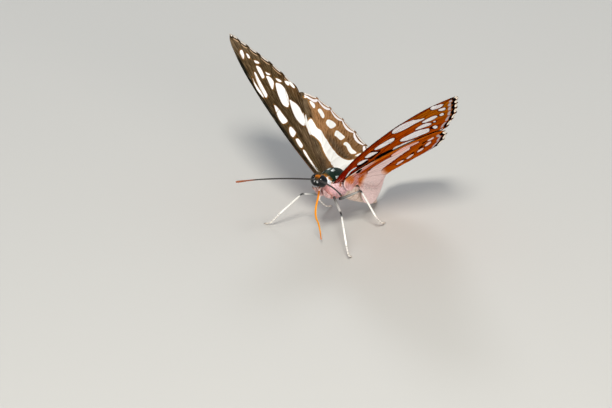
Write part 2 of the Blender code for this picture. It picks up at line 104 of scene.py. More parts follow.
def readAlong(at, rows):
    # the rows at each share of the way along them
    return ramp(at, np.linspace(0, 1, len(rows)), rows)


def evenly(line, count):
    along = np.concatenate([[0], np.cumsum(np.linalg.norm(np.diff(line, axis=0), axis=1))])
    return ramp(np.linspace(0, along[-1], count), along, line)


def curveThrough(points, count, closed=False):
    # Catmull-Rom curve through the points, read at even steps of its length
    keys = np.asarray(points, float)
    if closed:
        padded = np.vstack([keys[-1:], keys, keys[:2]])
    else:
        padded = np.vstack([2 * keys[0] - keys[1], keys, 2 * keys[-1] - keys[-2]])
    spans = len(padded) - 3
    a, b, c, d = (padded[i:i + spans, None] for i in range(4))
    t = np.linspace(0, 1, 20, endpoint=False)[None, :, None]
    fine = 0.5 * (2 * b + (c - a) * t + (2 * a - 5 * b + 4 * c - d) * t ** 2
                  + (3 * b - a - 3 * c + d) * t ** 3)
    return evenly(np.vstack([fine.reshape(-1, keys.shape[1]), padded[spans + 1]]), count)


def fromLine(points, line):
    # distance of each point to a chain of straight lengths, and how far along it the nearest place is
    a, d = line[:-1], np.diff(line, axis=0)
    offset = points[:, None] - a
    t = np.clip((offset * d).sum(2) / np.maximum((d * d).sum(1), 1e-9), 0, 1)
    gaps = np.linalg.norm(offset - d * t[..., None], axis=2)
    nearest = gaps.argmin(1)
    rows = np.arange(len(points))
    return gaps[rows, nearest], (nearest + t[rows, nearest]) / len(a)


def fromCurves(points, lines, count=30):
    # distance to the nearest of several curves
    return np.min([fromLine(points, curveThrough(line, count))[0] for line in lines], 0)


def fromOutline(points, outline):
    # distance to a closed outline, negative inside it
    gap = fromLine(points, np.vstack([outline, outline[:1]]))[0]
    a, b = outline, np.roll(outline, -1, 0)
    x, y = points[:, :1], points[:, 1:]
    rise = np.where(np.abs(b[:, 1] - a[:, 1]) < 1e-9, 1e-9, b[:, 1] - a[:, 1])
    crosses = (a[:, 1] > y) != (b[:, 1] > y)
    within = (crosses & (x < (b[:, 0] - a[:, 0]) * (y - a[:, 1]) / rise + a[:, 0])).sum(1) % 2 == 1
    return np.where(within, -gap, gap)


def fromMarks(points, marks):
    # distance to the nearest of several rounded marks, negative inside one; 9 mm where there is none
    best = np.full(len(points), 9.0)
    for mark in marks:
        best = np.minimum(best, fromOutline(points, curveThrough(mark, 4 * len(mark) + 1, True)[:-1]))
    return best


def layered(colour, *layers):
    # a ground colour under layers, each a colour and how much of it shows at each place
    colour = np.array(colour, float)
    for paint, amount in layers:
        colour = colour + (np.array(paint, float) - colour) * np.clip(amount, 0, 1)[:, None]
    return colour


# The frame's place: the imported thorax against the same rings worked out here

thoraxRings = np.array([
    # place along the body, middle's height, half width and half height
    (-4.2, -0.2, 0.5, 0.6), (-3.9, -0.2, 0.95, 1.2), (-3.2, -0.25, 1.5, 1.85), (-2.0, -0.35, 2.1, 2.6),
    (-0.6, -0.45, 2.45, 3.05), (1.0, -0.5, 2.5, 3.15), (2.5, -0.6, 2.3, 2.8), (3.6, -0.75, 1.85, 2.2),
    (4.3, -0.85, 1.3, 1.6), (4.6, -0.9, 0.7, 0.9)])
abdomenRings = np.array([
    (3.2, -0.95, 0.95, 1.15), (5.0, -1.2, 1.35, 1.65), (7.5, -1.35, 1.65, 1.95), (10.5, -1.5, 1.7, 2.0),
    (13.5, -1.75, 1.55, 1.8), (16.3, -2.15, 1.2, 1.35), (18.6, -2.55, 0.8, 0.85), (20.0, -2.75, 0.35, 0.4)])


def ringBody(rings, sides, shrink=0.0):
    # ellipses square to the body's length, each a little smaller than its measure
    turn = np.arange(sides) * 2 * math.pi / sides
    wide = np.maximum(rings[:, 2:3] - shrink, 0.05) * np.cos(turn)
    tall = np.maximum(rings[:, 3:4] - shrink, 0.05) * np.sin(turn)
    back = rings[:, :1] + shrink * np.linspace(1, -1, len(rings))[:, None] + 0 * wide
    return bodyPoint(np.stack([wide, back, rings[:, 1:2] + tall], -1))


plainThorax = ringBody(thoraxRings, 20).reshape(-1, 3)
boxLow, boxHigh = (np.array(corner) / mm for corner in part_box("thorax"))
shift = (boxLow + boxHigh) / 2 - (plainThorax.min(0) + plainThorax.max(0)) / 2
shift[2] = 0.0
print("frame placed at", shift.round(3))


# Meshes and materials

def addObject(name, data):
    made = bpy.data.objects.new(name, data)
    bpy.context.scene.collection.objects.link(made)
    return made


def addPiece(name, points, faces, material, slot, replaced=(), fields=None):
    # a mesh from points in millimetres, with its number, vector and colour fields, riding on the body
    mesh = bpy.data.meshes.new(name)
    faces = [faces] if isinstance(faces, np.ndarray) else list(faces)
    corners = np.concatenate([f.ravel() for f in faces])
    sizes = np.concatenate([np.full(len(f), f.shape[1]) for f in faces])
    mesh.vertices.add(len(points))
    mesh.vertices.foreach_set("co", ((points + shift) * mm).astype(np.float32).ravel())
    mesh.loops.add(len(corners))
    mesh.loops.foreach_set("vertex_index", corners.astype(np.int32))
    mesh.polygons.add(len(sizes))
    mesh.polygons.foreach_set("loop_start", (np.cumsum(sizes) - sizes).astype(np.int32))
    mesh.polygons.foreach_set("use_smooth", np.full(len(sizes), True))
    mesh.update(calc_edges=True)
    for title, values in (fields or {}).items():
        values = np.asarray(values, np.float32)
        kind, key = ("FLOAT", "value") if values.ndim == 1 else ("FLOAT_VECTOR", "vector")
        if title.endswith("Colour"):
            kind, key = "FLOAT_COLOR", "color"
            values = np.hstack([linear(values), np.ones((len(values), 1), np.float32)])
        mesh.attributes.new(title, kind, "POINT").data.foreach_set(key, values.ravel())
    mesh.validate()
    mesh.materials.append(material)
    piece = addObject(name, mesh)
    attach(piece, "root")
    if replaced:
        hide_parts(*replaced)
    return piece


def addMap(piece, corners):
    # the piece's unwrap, from a place for each corner of its faces
    layer = piece.data.uv_layers.new(name="OFBake")
    layer.data.foreach_set("uv", corners.astype(np.float32).ravel())


def linear(colour):
    # screen colour from 0 to 255 to scene-linear
    c = np.clip(np.asarray(colour, np.float32) / 255, 0, 1)
    return np.where(c <= 0.04045, c / 12.92, ((c + 0.055) / 1.055) ** 2.4).astype(np.float32)


def newMaterial(name, roughness, specular):
    made = bpy.data.materials.new(name)
    made.use_nodes = True
    shader = made.node_tree.nodes["Principled BSDF"]
    shader.inputs["Roughness"].default_value = roughness
    shader.inputs["Specular IOR Level"].default_value = specular
    return made, made.node_tree, shader


def wire(tree, source, socket):
    # a socket is linked, a tuple is a screen colour, and anything else is the value itself
    if isinstance(source, bpy.types.NodeSocket):
        tree.links.new(source, socket)
    elif isinstance(source, tuple):
        socket.default_value = (*(float(v) for v in linear(source)), 1.0)
    else:
        socket.default_value = source


def addNode(tree, kind, inputs, output=0, **settings):
    node = tree.nodes.new("ShaderNode" + kind)
    for name, value in settings.items():
        setattr(node, name, value)
    for socket, source in inputs.items():
        wire(tree, source, node.inputs[socket])
    return node.outputs[output]


def field(tree, name, output="Fac"):
    return addNode(tree, "Attribute", {}, output, attribute_name=name)


def paintField(tree, name="partColour"):
    return field(tree, name, "Color")


def plus(tree, a, b):
    return addNode(tree, "Math", {0: a, 1: b}, operation="ADD")


def times(tree, a, b):
    return addNode(tree, "Math", {0: a, 1: b}, operation="MULTIPLY")


def step(tree, value, low, high, toLow=0.0, toHigh=1.0):
    # smooth step between two values, of which the second may be the smaller one
    if low > high:
        low, high, toLow, toHigh = high, low, toHigh, toLow
    return addNode(tree, "MapRange", {0: value, 1: low, 2: high, 3: toLow, 4: toHigh},
                   interpolation_type="SMOOTHSTEP")


def blend(tree, amount, a, b, how="MIX"):
    return addNode(tree, "Mix", {0: amount, 6: a, 7: b}, 2, data_type="RGBA", blend_type=how)


def stretch(tree, vector, scale):
    return addNode(tree, "Mapping", {"Vector": vector, "Scale": Vector(scale)})


def noise(tree, vector, scale, detail=2.0, rough=0.5):
    return addNode(tree, "TexNoise", {"Vector": vector, "Scale": scale, "Detail": detail, "Roughness": rough})


def cells(tree, vector, scale, output="Color", randomness=0.8):
    return addNode(tree, "TexVoronoi", {"Vector": vector, "Scale": scale, "Randomness": randomness}, output)


def relief(tree, shader, height, distance, strength):
    bumps = addNode(tree, "Bump", {"Height": height, "Distance": distance, "Strength": strength})
    wire(tree, bumps, shader.inputs["Normal"])


def objectPlace(tree):
    return addNode(tree, "TexCoord", {}, "Object")


grained = {
    # roughness and shine; the grains' scale, detail and roughness; their smooth step; the colour in
    # them and how it mixes; the relief's depth and strength
    "feeler rings": ((0.42, 0.5), (9000.0, 2.0), (0.3, 0.8, 0.0, 0.35), (10, 8, 8), "MIX", (0.00002, 0.4)),
    "palp scales": ((0.7, 0.2), (5000.0, 3.0), (0.35, 0.75, 0.0, 0.5), (120, 96, 92), "MIX", (0.00006, 0.8)),
    "leg scales": ((0.5, 0.3), (6000.0, 3.0), (0.45, 0.8, 0.0, 0.4), (110, 104, 98), "MIX", (0.00004, 0.7)),
    "body skin": ((0.5, 0.25), (3500.0, 4.0, 0.6), (0.4, 0.8, 0.0, 0.6), (206, 188, 184), "MULTIPLY",
                  (0.00008, 0.5)),
}


def grainedMaterial(name):
    # each part's own colour, darker in fine grains that also stand up a little
    shine, grain, steps, dark, how, depth = grained[name]
    made, tree, shader = newMaterial(name, *shine)
    grains = noise(tree, objectPlace(tree), *grain)
    colour = blend(tree, step(tree, grains, *steps), paintField(tree), dark, how)
    wire(tree, colour, shader.inputs["Base Color"])
    relief(tree, shader, grains, *depth)
    return made


# Camera, floor and light

view = {
    "place": (268.6, -430.44, 269.0),        # from the wing hinges
    "forward": (-0.4734, 0.7415, -0.4754),
    "right": (0.8428, 0.5382, 0.0),
    "lens": 176.5, "sensor": 36.0, "near": 0.01, "far": 20.0,
}


def makeCamera():
    lens = bpy.data.cameras.new("view")
    lens.lens, lens.sensor_width, lens.sensor_fit = view["lens"], view["sensor"], "HORIZONTAL"
    lens.clip_start, lens.clip_end = view["near"], view["far"]
    camera = addObject("view", lens)
    forward = unit(np.array(view["forward"]))
    right = unit(np.array(view["right"]) - forward * (np.array(view["right"]) @ forward))
    turned = np.eye(4)
    turned[:3, :3] = np.stack([right, np.cross(right, forward), -forward], 1)
    turned[:3, 3] = (hinge + np.array(view["place"]) + shift) * mm
    camera.matrix_world = Matrix(turned.tolist())
    bpy.context.scene.camera = camera


studio = {
    "floor": 2.5,
    "floorColour": (188, 188, 185),
    "world": (236, 240, 246),
    "worldStrength": 0.46,
    "aim": (0.0, 0.0, 0.015),
    "lamps": [
        # name, place from the butterfly, size, watts, colour
        ("key", (0.20, -0.38, 0.54), 0.14, 4.3, (255, 250, 240)),
        ("fill", (0.52, -0.36, 0.08), 0.40, 3.0, (255, 244, 236)),
        ("rim", (-0.35, 0.45, 0.50), 0.25, 1.4, (244, 248, 255)),
    ],
}


def makeStudio():
    corners = np.array([(-1, -1, 0), (1, -1, 0), (1, 1, 0), (-1, 1, 0)]) * studio["floor"]
    mesh = bpy.data.meshes.new("floor")
    mesh.from_pydata(corners.tolist(), [], [(0, 1, 2, 3)])
    floor = addObject("floor", mesh)
    made, tree, shader = newMaterial("pale floor", 0.8, 0.2)
    wire(tree, studio["floorColour"], shader.inputs["Base Color"])
    mesh.materials.append(made)
    world = bpy.data.worlds.new("studio")
    bpy.context.scene.world = world
    world.use_nodes = True
    back = world.node_tree.nodes["Background"]
    wire(world.node_tree, studio["world"], back.inputs["Color"])
    back.inputs["Strength"].default_value = studio["worldStrength"]
    for name, place, width, watts, colour in studio["lamps"]:
        lamp = bpy.data.lights.new(name, "AREA")
        lamp.shape, lamp.size, lamp.energy = "DISK", width, watts
        lamp.color = [float(v) for v in linear(colour)]
        holder = addObject(name, lamp)
        holder.location = place
        holder.rotation_euler = (Vector(place) - Vector(studio["aim"])).to_track_quat("Z", "Y").to_euler()
    bpy.context.scene.view_settings.view_transform = "Standard"


makeCamera()
makeStudio()
print("camera, floor and lights placed")


# Wings: plans in millimetres from the hinge, x towards the apex and y to the rear

wingForm = {
    "sag": 1.26, "length": 33.0,
    "lift": {"left": 0.055, "right": 0.0},
    # the hindwing lies this far below, and climbs in a step behind the forewing's rear edge
    "drop": 0.29, "rearEdge": (1.0, 0.5), "rearSquare": (-0.61, 0.7925),
    "step": {"left": 0.26, "right": 0.71}, "stepStart": 0.2, "stepLength": 2.2,
    "rise": {"left": 0.04, "right": 0.08},
    "rootHold": 2.0, "rootLength": 4.0,
    "curl": 0.035, "curlStart": 10.0,
    "foldStart": 2.2, "foldRadius": 2.5, "foldTurn": math.radians(46.0),
    "scallop": 0.4, "scallopLeast": 2.0, "inset": 0.25, "tick": 0.5,
    "thickness": 0.045, "vein": 0.06, "veinWidth": 0.13, "dish": 0.05, "dishWidth": 1.1,
    "shadeStep": (0.22, -0.3),
    # the field of flow turns about the root this fast, and both fields lie apart for the two faces
    "flowTurn": 14.0, "flowApart": 7.0, "planApart": 50.0,
    # the unwrap's largest width and height of a face, its edge, and the strip for the rim
    "unwrap": (0.96, 0.475), "unwrapEdge": 0.01, "unwrapStrip": (0.985, 0.992),
}
foreWing = {
    "rows": 136, "columns": 230, "settle": 0, "flowRoot": (-4.0, -1.0), "hairRoot": (-1.5, -0.8),
    "costa": [(-1.6, -2.2), (0.4, -2.8), (2.5, -3.6), (5.5, -4.5), (9.0, -5.3), (13.0, -5.8), (17.0, -5.9),
              (21.0, -5.7), (24.5, -5.1), (27.5, -4.2), (30.0, -3.0), (32.0, -1.6), (33.0, -0.2)],
    "ends": [(33.0, -0.2), (33.0, 0.7), (31.8, 2.3), (30.1, 4.3), (27.8, 6.7), (25.2, 9.3), (22.3, 11.4),
             (19.1, 13.2)],
    "inner": [(19.1, 13.2), (18.1, 13.3), (16.5, 12.4), (14.1, 10.5), (11.5, 8.3), (8.5, 5.8), (5.5, 3.5),
              (2.5, 1.6), (-1.4, 0.7)],
    "veins": [
        [(-1.0, -1.9), (3.0, -3.2), (8.0, -4.5), (12.5, -5.2), (16.5, -5.5)],
        [(-1.0, -1.3), (3.0, -2.5), (8.0, -3.8), (12.5, -4.4), (15.0, -4.4), (20.0, -3.9), (25.0, -2.6),
         (32.0, -0.2)],
        [(12.5, -4.4), (17.0, -4.9), (22.0, -5.2)],
        [(20.0, -3.9), (24.5, -3.9), (29.0, -3.2)],
        [(15.0, -4.4), (19.0, -3.7), (24.0, -1.5), (28.3, 0.3), (31.2, 2.0)],
        [(15.2, -3.3), (19.0, -2.0), (24.0, 0.6), (27.2, 2.5), (29.5, 3.9)],
        [(15.5, -0.9), (19.5, 0.6), (23.5, 3.0), (27.2, 6.2)],
        [(-1.0, -0.3), (4.0, 0.3), (9.0, 0.6), (13.0, 0.0), (15.5, -0.9), (15.2, -3.3), (15.0, -4.4)],
        [(13.0, 0.0), (16.0, 0.9), (19.5, 3.3), (22.5, 5.9), (24.7, 8.7)],
        [(9.0, 0.6), (12.5, 3.2), (16.5, 5.1), (19.5, 8.0), (22.0, 11.2)],
        [(-0.6, 0.1), (4.0, 1.7), (9.0, 4.9), (13.6, 8.8), (18.5, 12.6)],
    ],
    "lowerLines": [],
}
hindWing = {
    "rows": 156, "columns": 156, "settle": 160, "flowRoot": (-0.5, 1.5), "hairRoot": (-0.5, 1.2),
    "costa": [(-0.6, 0.3), (1.0, -1.1), (4.0, -1.1), (8.0, 0.6), (12.0, 3.6), (15.2, 6.9), (17.1, 10.0),
              (17.6, 12.2), (17.2, 14.1)],
    "ends": [(17.2, 14.1), (15.0, 17.5), (12.0, 19.9), (8.7, 21.5), (5.1, 21.9), (1.7, 21.3), (-1.3, 20.4),
             (-3.6, 19.0)],
    "inner": [(-3.6, 19.0), (-5.4, 17.7), (-6.6, 15.5), (-7.1, 13.0), (-6.5, 10.4), (-5.0, 8.1), (-2.3, 6.5),
              (-1.2, 5.4), (-1.0, 4.2), (-1.4, 2.8)],
    "veins": [
        [(-0.4, 0.9), (3.0, 0.8), (8.0, 3.0), (12.5, 6.3), (16.7, 12.2)],
        [(0.0, 1.7), (3.5, 3.2), (8.5, 7.2), (13.6, 11.9), (16.6, 14.0)],
        [(3.5, 3.2), (6.5, 7.2), (11.0, 13.0), (14.6, 17.0)],
        [(5.0, 5.2), (6.2, 9.0), (9.0, 14.6), (11.7, 19.3)],
        [(4.2, 6.4), (5.0, 10.5), (6.6, 15.2), (8.5, 20.8)],
        [(-0.3, 2.6), (2.0, 5.0), (3.6, 9.5), (3.9, 15.5), (5.0, 21.2)],
        [(2.0, 5.0), (2.2, 9.5), (1.1, 15.5), (1.6, 20.6)],
        [(-0.7, 3.4), (0.3, 9.0), (-1.0, 15.5), (-1.3, 19.7)],
        [(-0.3, 4.6), (-2.4, 9.5), (-4.0, 14.0), (-3.9, 18.0)],
    ],
    "lowerLines": [
        [(4.0, 1.2), (7.0, 2.3), (8.9, 3.6), (10.8, 5.0), (12.4, 6.5), (14.2, 8.3), (15.8, 10.6)],
        [(8.0, 4.4), (9.4, 6.0), (11.0, 7.2), (13.0, 7.7), (14.4, 8.4)],
        [(4.0, 10.2), (6.7, 10.4), (8.8, 10.4), (10.8, 10.2), (12.8, 10.0)],
    ],
}

# White marks of the upper side of a forewing: a row behind the margin, the curved row, and the broken streak
foreUpperWhite = {
    "apexSpot": [(29.4, -0.1), (29.1, 0.5), (28.2, -0.1), (27.6, -1.0), (27.4, -2.0), (28.2, -1.8),
                 (29.0, -1.4)],
    "secondSpot": [(28.4, 1.2), (28.1, 1.8), (27.4, 1.8), (27.1, 1.2), (27.3, 0.6), (27.8, 0.7)],
    "thirdSpot": [(26.5, 2.4), (26.2, 3.7), (25.6, 4.1), (25.5, 3.3), (25.8, 2.3), (26.2, 2.1)],
    "fourthSpot": [(23.6, 3.9), (23.2, 4.8), (22.7, 5.5), (22.6, 4.7), (22.9, 3.8)],
    "fifthSpot": [(21.7, 6.5), (21.3, 7.7), (20.6, 8.4), (20.5, 7.5), (20.9, 6.6)],
    "sixthSpot": [(20.5, 9.7), (20.2, 11.2), (19.8, 11.5), (19.3, 10.7), (19.3, 9.8), (19.9, 9.3)],
    "lastSpot": [(20.0, 11.7), (19.5, 12.4), (18.6, 12.5), (18.3, 11.9), (18.6, 11.3), (19.3, 11.0)],
    "bandFront": [(25.3, 1.5), (25.1, 2.7), (24.3, 3.0), (22.9, 2.3), (22.5, 1.7), (22.5, 0.6), (23.4, 0.7),
                  (24.4, 0.9)],
    "bandSecond": [(22.7, 2.9), (22.5, 4.2), (21.8, 4.7), (20.9, 4.4), (19.9, 2.6), (19.8, 1.7), (20.5, 1.8),
                   (21.7, 2.4)],
    "bandThird": [(20.7, 4.9), (20.6, 6.2), (19.9, 7.3), (18.8, 7.4), (17.6, 6.9), (16.6, 5.9), (15.4, 3.8),
                  (15.7, 2.5), (16.5, 1.9), (18.1, 2.5), (19.5, 3.5)],
    "bandFourth": [(16.7, 6.3), (16.2, 7.2), (15.5, 8.1), (14.5, 8.5), (13.3, 8.1), (12.1, 7.4), (11.0, 6.1),
                   (10.8, 5.0), (11.5, 4.2), (12.7, 3.7), (14.1, 4.1), (15.6, 5.2)],
    "rearSliver": [(13.3, 8.2), (12.9, 8.3), (11.7, 7.5), (10.6, 6.3), (10.7, 5.9), (11.9, 6.9)],
    "rearStreak": [(12.8, 9.1), (12.1, 9.1), (10.7, 7.8), (9.3, 6.5), (8.6, 5.7), (8.7, 5.2), (9.8, 5.5),
                   (11.0, 6.3)],
    "costaLong": [(24.3, -1.1), (24.1, -0.4), (22.9, -0.8), (21.4, -1.2), (20.1, -1.6), (19.1, -2.0),
                  (18.7, -3.0), (18.9, -3.7), (19.8, -3.6), (21.5, -3.0), (23.2, -2.1)],
    "costaThin": [(23.5, -3.3), (22.8, -3.5), (21.5, -3.8), (20.1, -3.8), (19.1, -4.0), (18.9, -4.4),
                  (19.5, -4.7), (20.8, -4.9), (22.2, -4.4)],
    "cellEnd": [(16.9, -1.8), (16.4, -1.2), (15.4, -0.9), (14.2, -0.7), (13.0, -0.5), (12.7, -1.4),
                (12.7, -3.0), (13.0, -3.7), (13.9, -3.8), (15.3, -3.2), (16.4, -2.4)],
    "cellThird": [(11.7, -1.6), (11.7, -0.7), (11.1, -0.3), (10.2, -0.2), (9.7, -1.7), (9.6, -2.8),
                  (10.2, -3.2), (11.0, -2.8)],
    "cellSecond": [(9.2, -1.9), (9.0, -0.8), (8.2, -0.6), (7.4, -0.7), (7.0, -1.7), (7.3, -2.5), (8.1, -2.6),
                   (8.9, -2.4)],
    "cellFirst": [(6.7, -1.9), (6.3, -1.1), (4.9, -1.2), (3.4, -1.1), (2.3, -0.8), (1.4, -0.7), (1.5, -1.6),
                  (2.8, -2.0), (4.4, -2.3), (5.9, -2.4)],
}
foreLowerWhite = {
    "apexSpot": [(28.7, -2.9), (29.7, -3.1), (30.3, -1.1), (29.9, -0.3), (28.9, -0.1), (28.0, -1.4)],
    "secondSpot": [(27.8, 0.3), (28.5, 1.5), (27.8, 2.7), (27.1, 3.1), (27.0, 1.9)],
    "thirdSpot": [(25.2, 3.5), (25.9, 3.6), (25.4, 4.8), (24.7, 5.3), (24.5, 4.6)],
    "fourthSpot": [(22.2, 4.7), (22.6, 5.1), (22.1, 5.9), (21.7, 6.0)],
    "fifthSpot": [(19.8, 7.2), (20.2, 7.7), (19.5, 9.2), (18.7, 9.7), (18.7, 8.8)],
    "bandFront": [(22.9, 0.7), (24.0, 0.9), (25.2, 2.1), (24.8, 3.4), (24.2, 3.9), (23.0, 3.4), (22.4, 1.8)],
    "bandSecond": [(19.5, 2.2), (21.1, 1.8), (22.1, 2.9), (21.8, 4.7), (21.0, 5.5), (20.2, 4.6)],
    "bandThird": [(15.4, 1.9), (16.4, 1.4), (18.0, 2.2), (19.2, 3.9), (19.4, 6.3), (18.7, 7.5), (17.6, 8.4),
                  (16.7, 7.3), (15.5, 5.5), (15.0, 4.1)],
    "bandFourth": [(11.4, 3.9), (12.5, 2.9), (13.4, 3.4), (14.4, 4.8), (15.0, 6.2), (15.0, 8.0), (14.3, 8.6),
                   (13.3, 7.2), (12.3, 5.8), (11.5, 4.7)],
    "tornusStreak": [(16.2, 11.2), (17.2, 11.7), (18.2, 12.1), (17.8, 12.6), (16.8, 12.2)],
    "costaStreak": [(19.3, -4.3), (19.3, -3.0), (20.7, -1.8), (22.6, -1.1), (24.4, -0.1), (24.7, -0.6),
                    (24.3, -2.3), (24.3, -3.5), (22.7, -5.0), (20.7, -5.4)],
    "cellEnd": [(13.1, -3.4), (13.0, -2.1), (14.3, -1.0), (15.8, -0.5), (17.0, -1.2), (17.3, -2.0),
                (16.4, -3.0), (14.9, -3.4)],
    "cellThird": [(9.9, -3.0), (9.8, -1.8), (10.9, -1.2), (11.8, -0.9), (12.0, -1.6), (11.9, -3.1),
                  (10.8, -3.3)],
    "cellSecond": [(7.1, -2.5), (7.3, -1.6), (8.7, -1.3), (9.1, -1.0), (9.2, -2.0), (8.6, -2.8), (7.8, -2.9)],
    "cellFirst": [(1.8, -0.9), (2.8, -1.6), (4.5, -2.3), (6.0, -2.3), (6.4, -1.7), (5.8, -1.6), (4.4, -1.7),
                  (2.7, -1.0)],
}
foreLowerDark = {
    "barBase": [(9.0, 0.8), (10.8, 0.9), (11.7, 1.7), (12.1, 2.8), (11.4, 3.6), (10.7, 3.0), (9.6, 2.2),
                (8.8, 1.4)],
    "barRoot": [(6.2, -1.4), (7.6, -1.3), (8.5, -0.9), (8.4, -0.2), (7.7, 0.0), (7.0, -0.3), (6.1, -0.7)],
    "barOuter": [(15.0, 7.2), (15.5, 7.3), (16.2, 8.6), (16.9, 9.8), (17.3, 10.9), (16.4, 11.3),
                 (15.1, 10.3), (14.4, 8.4)],
    "cellFoot": [(6.6, -2.2), (7.0, -1.6), (7.6, -1.2), (7.2, -0.6), (6.2, -0.8), (5.4, -1.1)],
    "cellGap": [(9.3, -2.9), (9.6, -2.4), (9.5, -1.5), (9.1, -1.0), (9.0, -0.3), (9.9, -0.2), (11.9, -0.3),
                (12.6, -1.2), (12.4, -2.2), (12.7, -3.5), (12.2, -3.5), (11.9, -0.9), (9.7, -1.3)],
    "bandEnd": [(19.6, 6.6), (20.4, 6.4), (20.3, 7.2), (19.4, 8.4), (18.6, 8.5), (18.9, 7.6)],
}
hindUpperWhite = {
    "faintSpot": [(16.1, 13.4), (15.9, 13.9), (15.6, 13.7), (15.7, 13.3)],
    "firstSpot": [(14.8, 13.6), (14.6, 14.1), (13.9, 14.6), (13.2, 14.1), (13.0, 13.1), (13.6, 12.9),
                  (14.4, 13.2)],
    "secondSpot": [(12.6, 14.4), (12.5, 15.5), (11.6, 15.7), (10.7, 15.1), (10.4, 13.9), (10.8, 13.5),
                   (11.7, 13.6), (12.3, 13.8)],
    "thirdSpot": [(9.7, 14.2), (9.9, 15.4), (9.2, 16.8), (8.3, 17.3), (7.9, 16.3), (7.9, 14.1), (8.6, 13.4),
                  (9.4, 13.6)],
    "fourthSpot": [(7.2, 15.3), (7.0, 16.1), (6.1, 16.9), (5.2, 17.3), (5.0, 16.3), (5.0, 14.7), (5.9, 14.0),
                   (6.5, 13.5)],
    "fifthSpot": [(4.3, 15.0), (4.3, 16.3), (3.5, 16.9), (2.5, 16.7), (1.5, 17.1), (1.3, 16.3), (1.7, 14.9),
                  (2.5, 14.8), (3.5, 15.1), (3.9, 14.3)],
    "lastSpot": [(1.0, 15.4), (1.1, 16.6), (1.0, 18.0), (0.7, 17.9), (0.6, 16.4)],
    "band": [(11.6, 10.0), (11.2, 10.1), (10.2, 9.7), (9.2, 9.3), (8.7, 9.7), (7.9, 9.8), (6.9, 9.5),
             (5.8, 9.5), (4.7, 9.3), (3.6, 9.5), (2.6, 9.8), (1.7, 10.7), (0.9, 12.4), (0.3, 15.0),
             (-1.5, 16.0), (-3.5, 14.5), (-3.5, 10.5), (-1.5, 7.0), (1.5, 4.9), (2.2, 5.0), (3.2, 5.0),
             (4.5, 5.5), (5.7, 6.2), (6.7, 6.8), (7.9, 6.9), (9.0, 6.6), (10.3, 7.3), (11.3, 8.7)],
}
hindLowerWhite = {
    "band": [(12.4, 7.8), (11.4, 8.9), (9.8, 9.8), (7.6, 9.7), (5.2, 9.6), (3.4, 9.5), (2.0, 10.1),
             (0.6, 11.6), (-1.0, 14.0), (-3.5, 15.6), (-8.5, 16.0), (-8.5, 9.5), (-4.0, 8.4), (-1.5, 7.6),
             (0.4, 6.9), (1.7, 5.9), (2.8, 4.9), (4.1, 4.0), (5.4, 3.6), (7.2, 4.2), (8.6, 4.9), (9.6, 5.8),
             (10.4, 6.7), (11.4, 7.0)],
    "pinkStripe": [(9.3, 5.3), (10.4, 4.7), (11.8, 5.1), (13.0, 5.9), (13.9, 7.2), (14.4, 8.6), (13.7, 9.1),
                   (12.6, 8.1), (11.4, 7.2), (10.2, 6.7)],
    "firstSpot": [(14.4, 12.9), (14.1, 13.9), (13.4, 14.2), (12.8, 13.8), (12.8, 13.0), (13.6, 12.6)],
    "secondSpot": [(12.2, 14.4), (12.0, 15.3), (11.0, 16.0), (10.0, 16.0), (10.2, 15.0), (11.2, 14.4)],
    "thirdSpot": [(9.4, 14.8), (9.4, 15.7), (8.5, 16.2), (7.7, 15.9), (7.8, 15.1), (8.6, 14.7)],
    "fourthSpot": [(7.1, 14.1), (7.3, 14.8), (6.2, 15.4), (5.3, 15.2), (5.3, 14.4), (6.2, 13.9)],
    "fifthSpot": [(4.9, 13.0), (5.2, 13.9), (4.3, 14.4), (3.3, 14.2), (3.2, 13.4), (4.0, 12.8)],
}
hindLowerDark = {
    "firstBar": [(13.4, 11.9), (13.2, 12.6), (12.3, 13.0), (11.7, 12.7), (12.2, 12.0)],
    "secondBar": [(10.9, 13.5), (10.6, 14.3), (9.7, 14.6), (9.3, 14.0), (9.9, 13.4)],
    "thirdBar": [(8.4, 13.3), (8.2, 14.1), (7.4, 14.2), (7.1, 13.6)],
    "fourthBar": [(5.9, 13.0), (5.8, 13.5), (5.2, 13.5), (5.2, 13.0)],
    "rootBar": [(4.0, 0.1), (4.7, -0.6), (5.7, -0.6), (5.9, -0.1), (5.0, 0.6), (4.3, 0.8)],
    "rootDot": [(4.2, 2.8), (5.4, 3.1), (5.7, 3.5), (4.4, 3.3)],
}
# Streaks of colour below at the hindwing's root: colour, line and reach to each side
hindRootStreaks = [
    ((200, 100, 26), [(2.7, -1.0), (1.0, 2.0)], 1.1),
    ((206, 146, 150), [(3.4, 0.8), (0.8, 3.1), (-0.8, 4.9)], 0.8),
    ((200, 108, 40), [(0.4, 5.0), (-0.5, 7.2)], 1.0),
]


wings = {"fore": foreWing, "hind": hindWing}
marks = {
    # white marks and dark ones of each wing, above (True) and below
    ("fore", True): (foreUpperWhite, {}), ("fore", False): (foreLowerWhite, foreLowerDark),
    ("hind", True): (hindUpperWhite, {}), ("hind", False): (hindLowerWhite, hindLowerDark),
}


def foreSheet(x, y, side):
    # the apex sags with the square of its distance, and the rear part lifts evenly
    sag = wingForm["sag"] * (np.maximum(x, 0) / wingForm["length"]) ** 2
    return np.stack([x, y, wingForm["lift"][side] * np.maximum(y, 0) - sag], -1)


def behindForewing(x, y):
    # how far a place of the hindwing lies behind the forewing's rear edge
    (edgeX, edgeY), (squareX, squareY) = wingForm["rearEdge"], wingForm["rearSquare"]
    return squareX * (x - edgeX) + squareY * (y - edgeY)


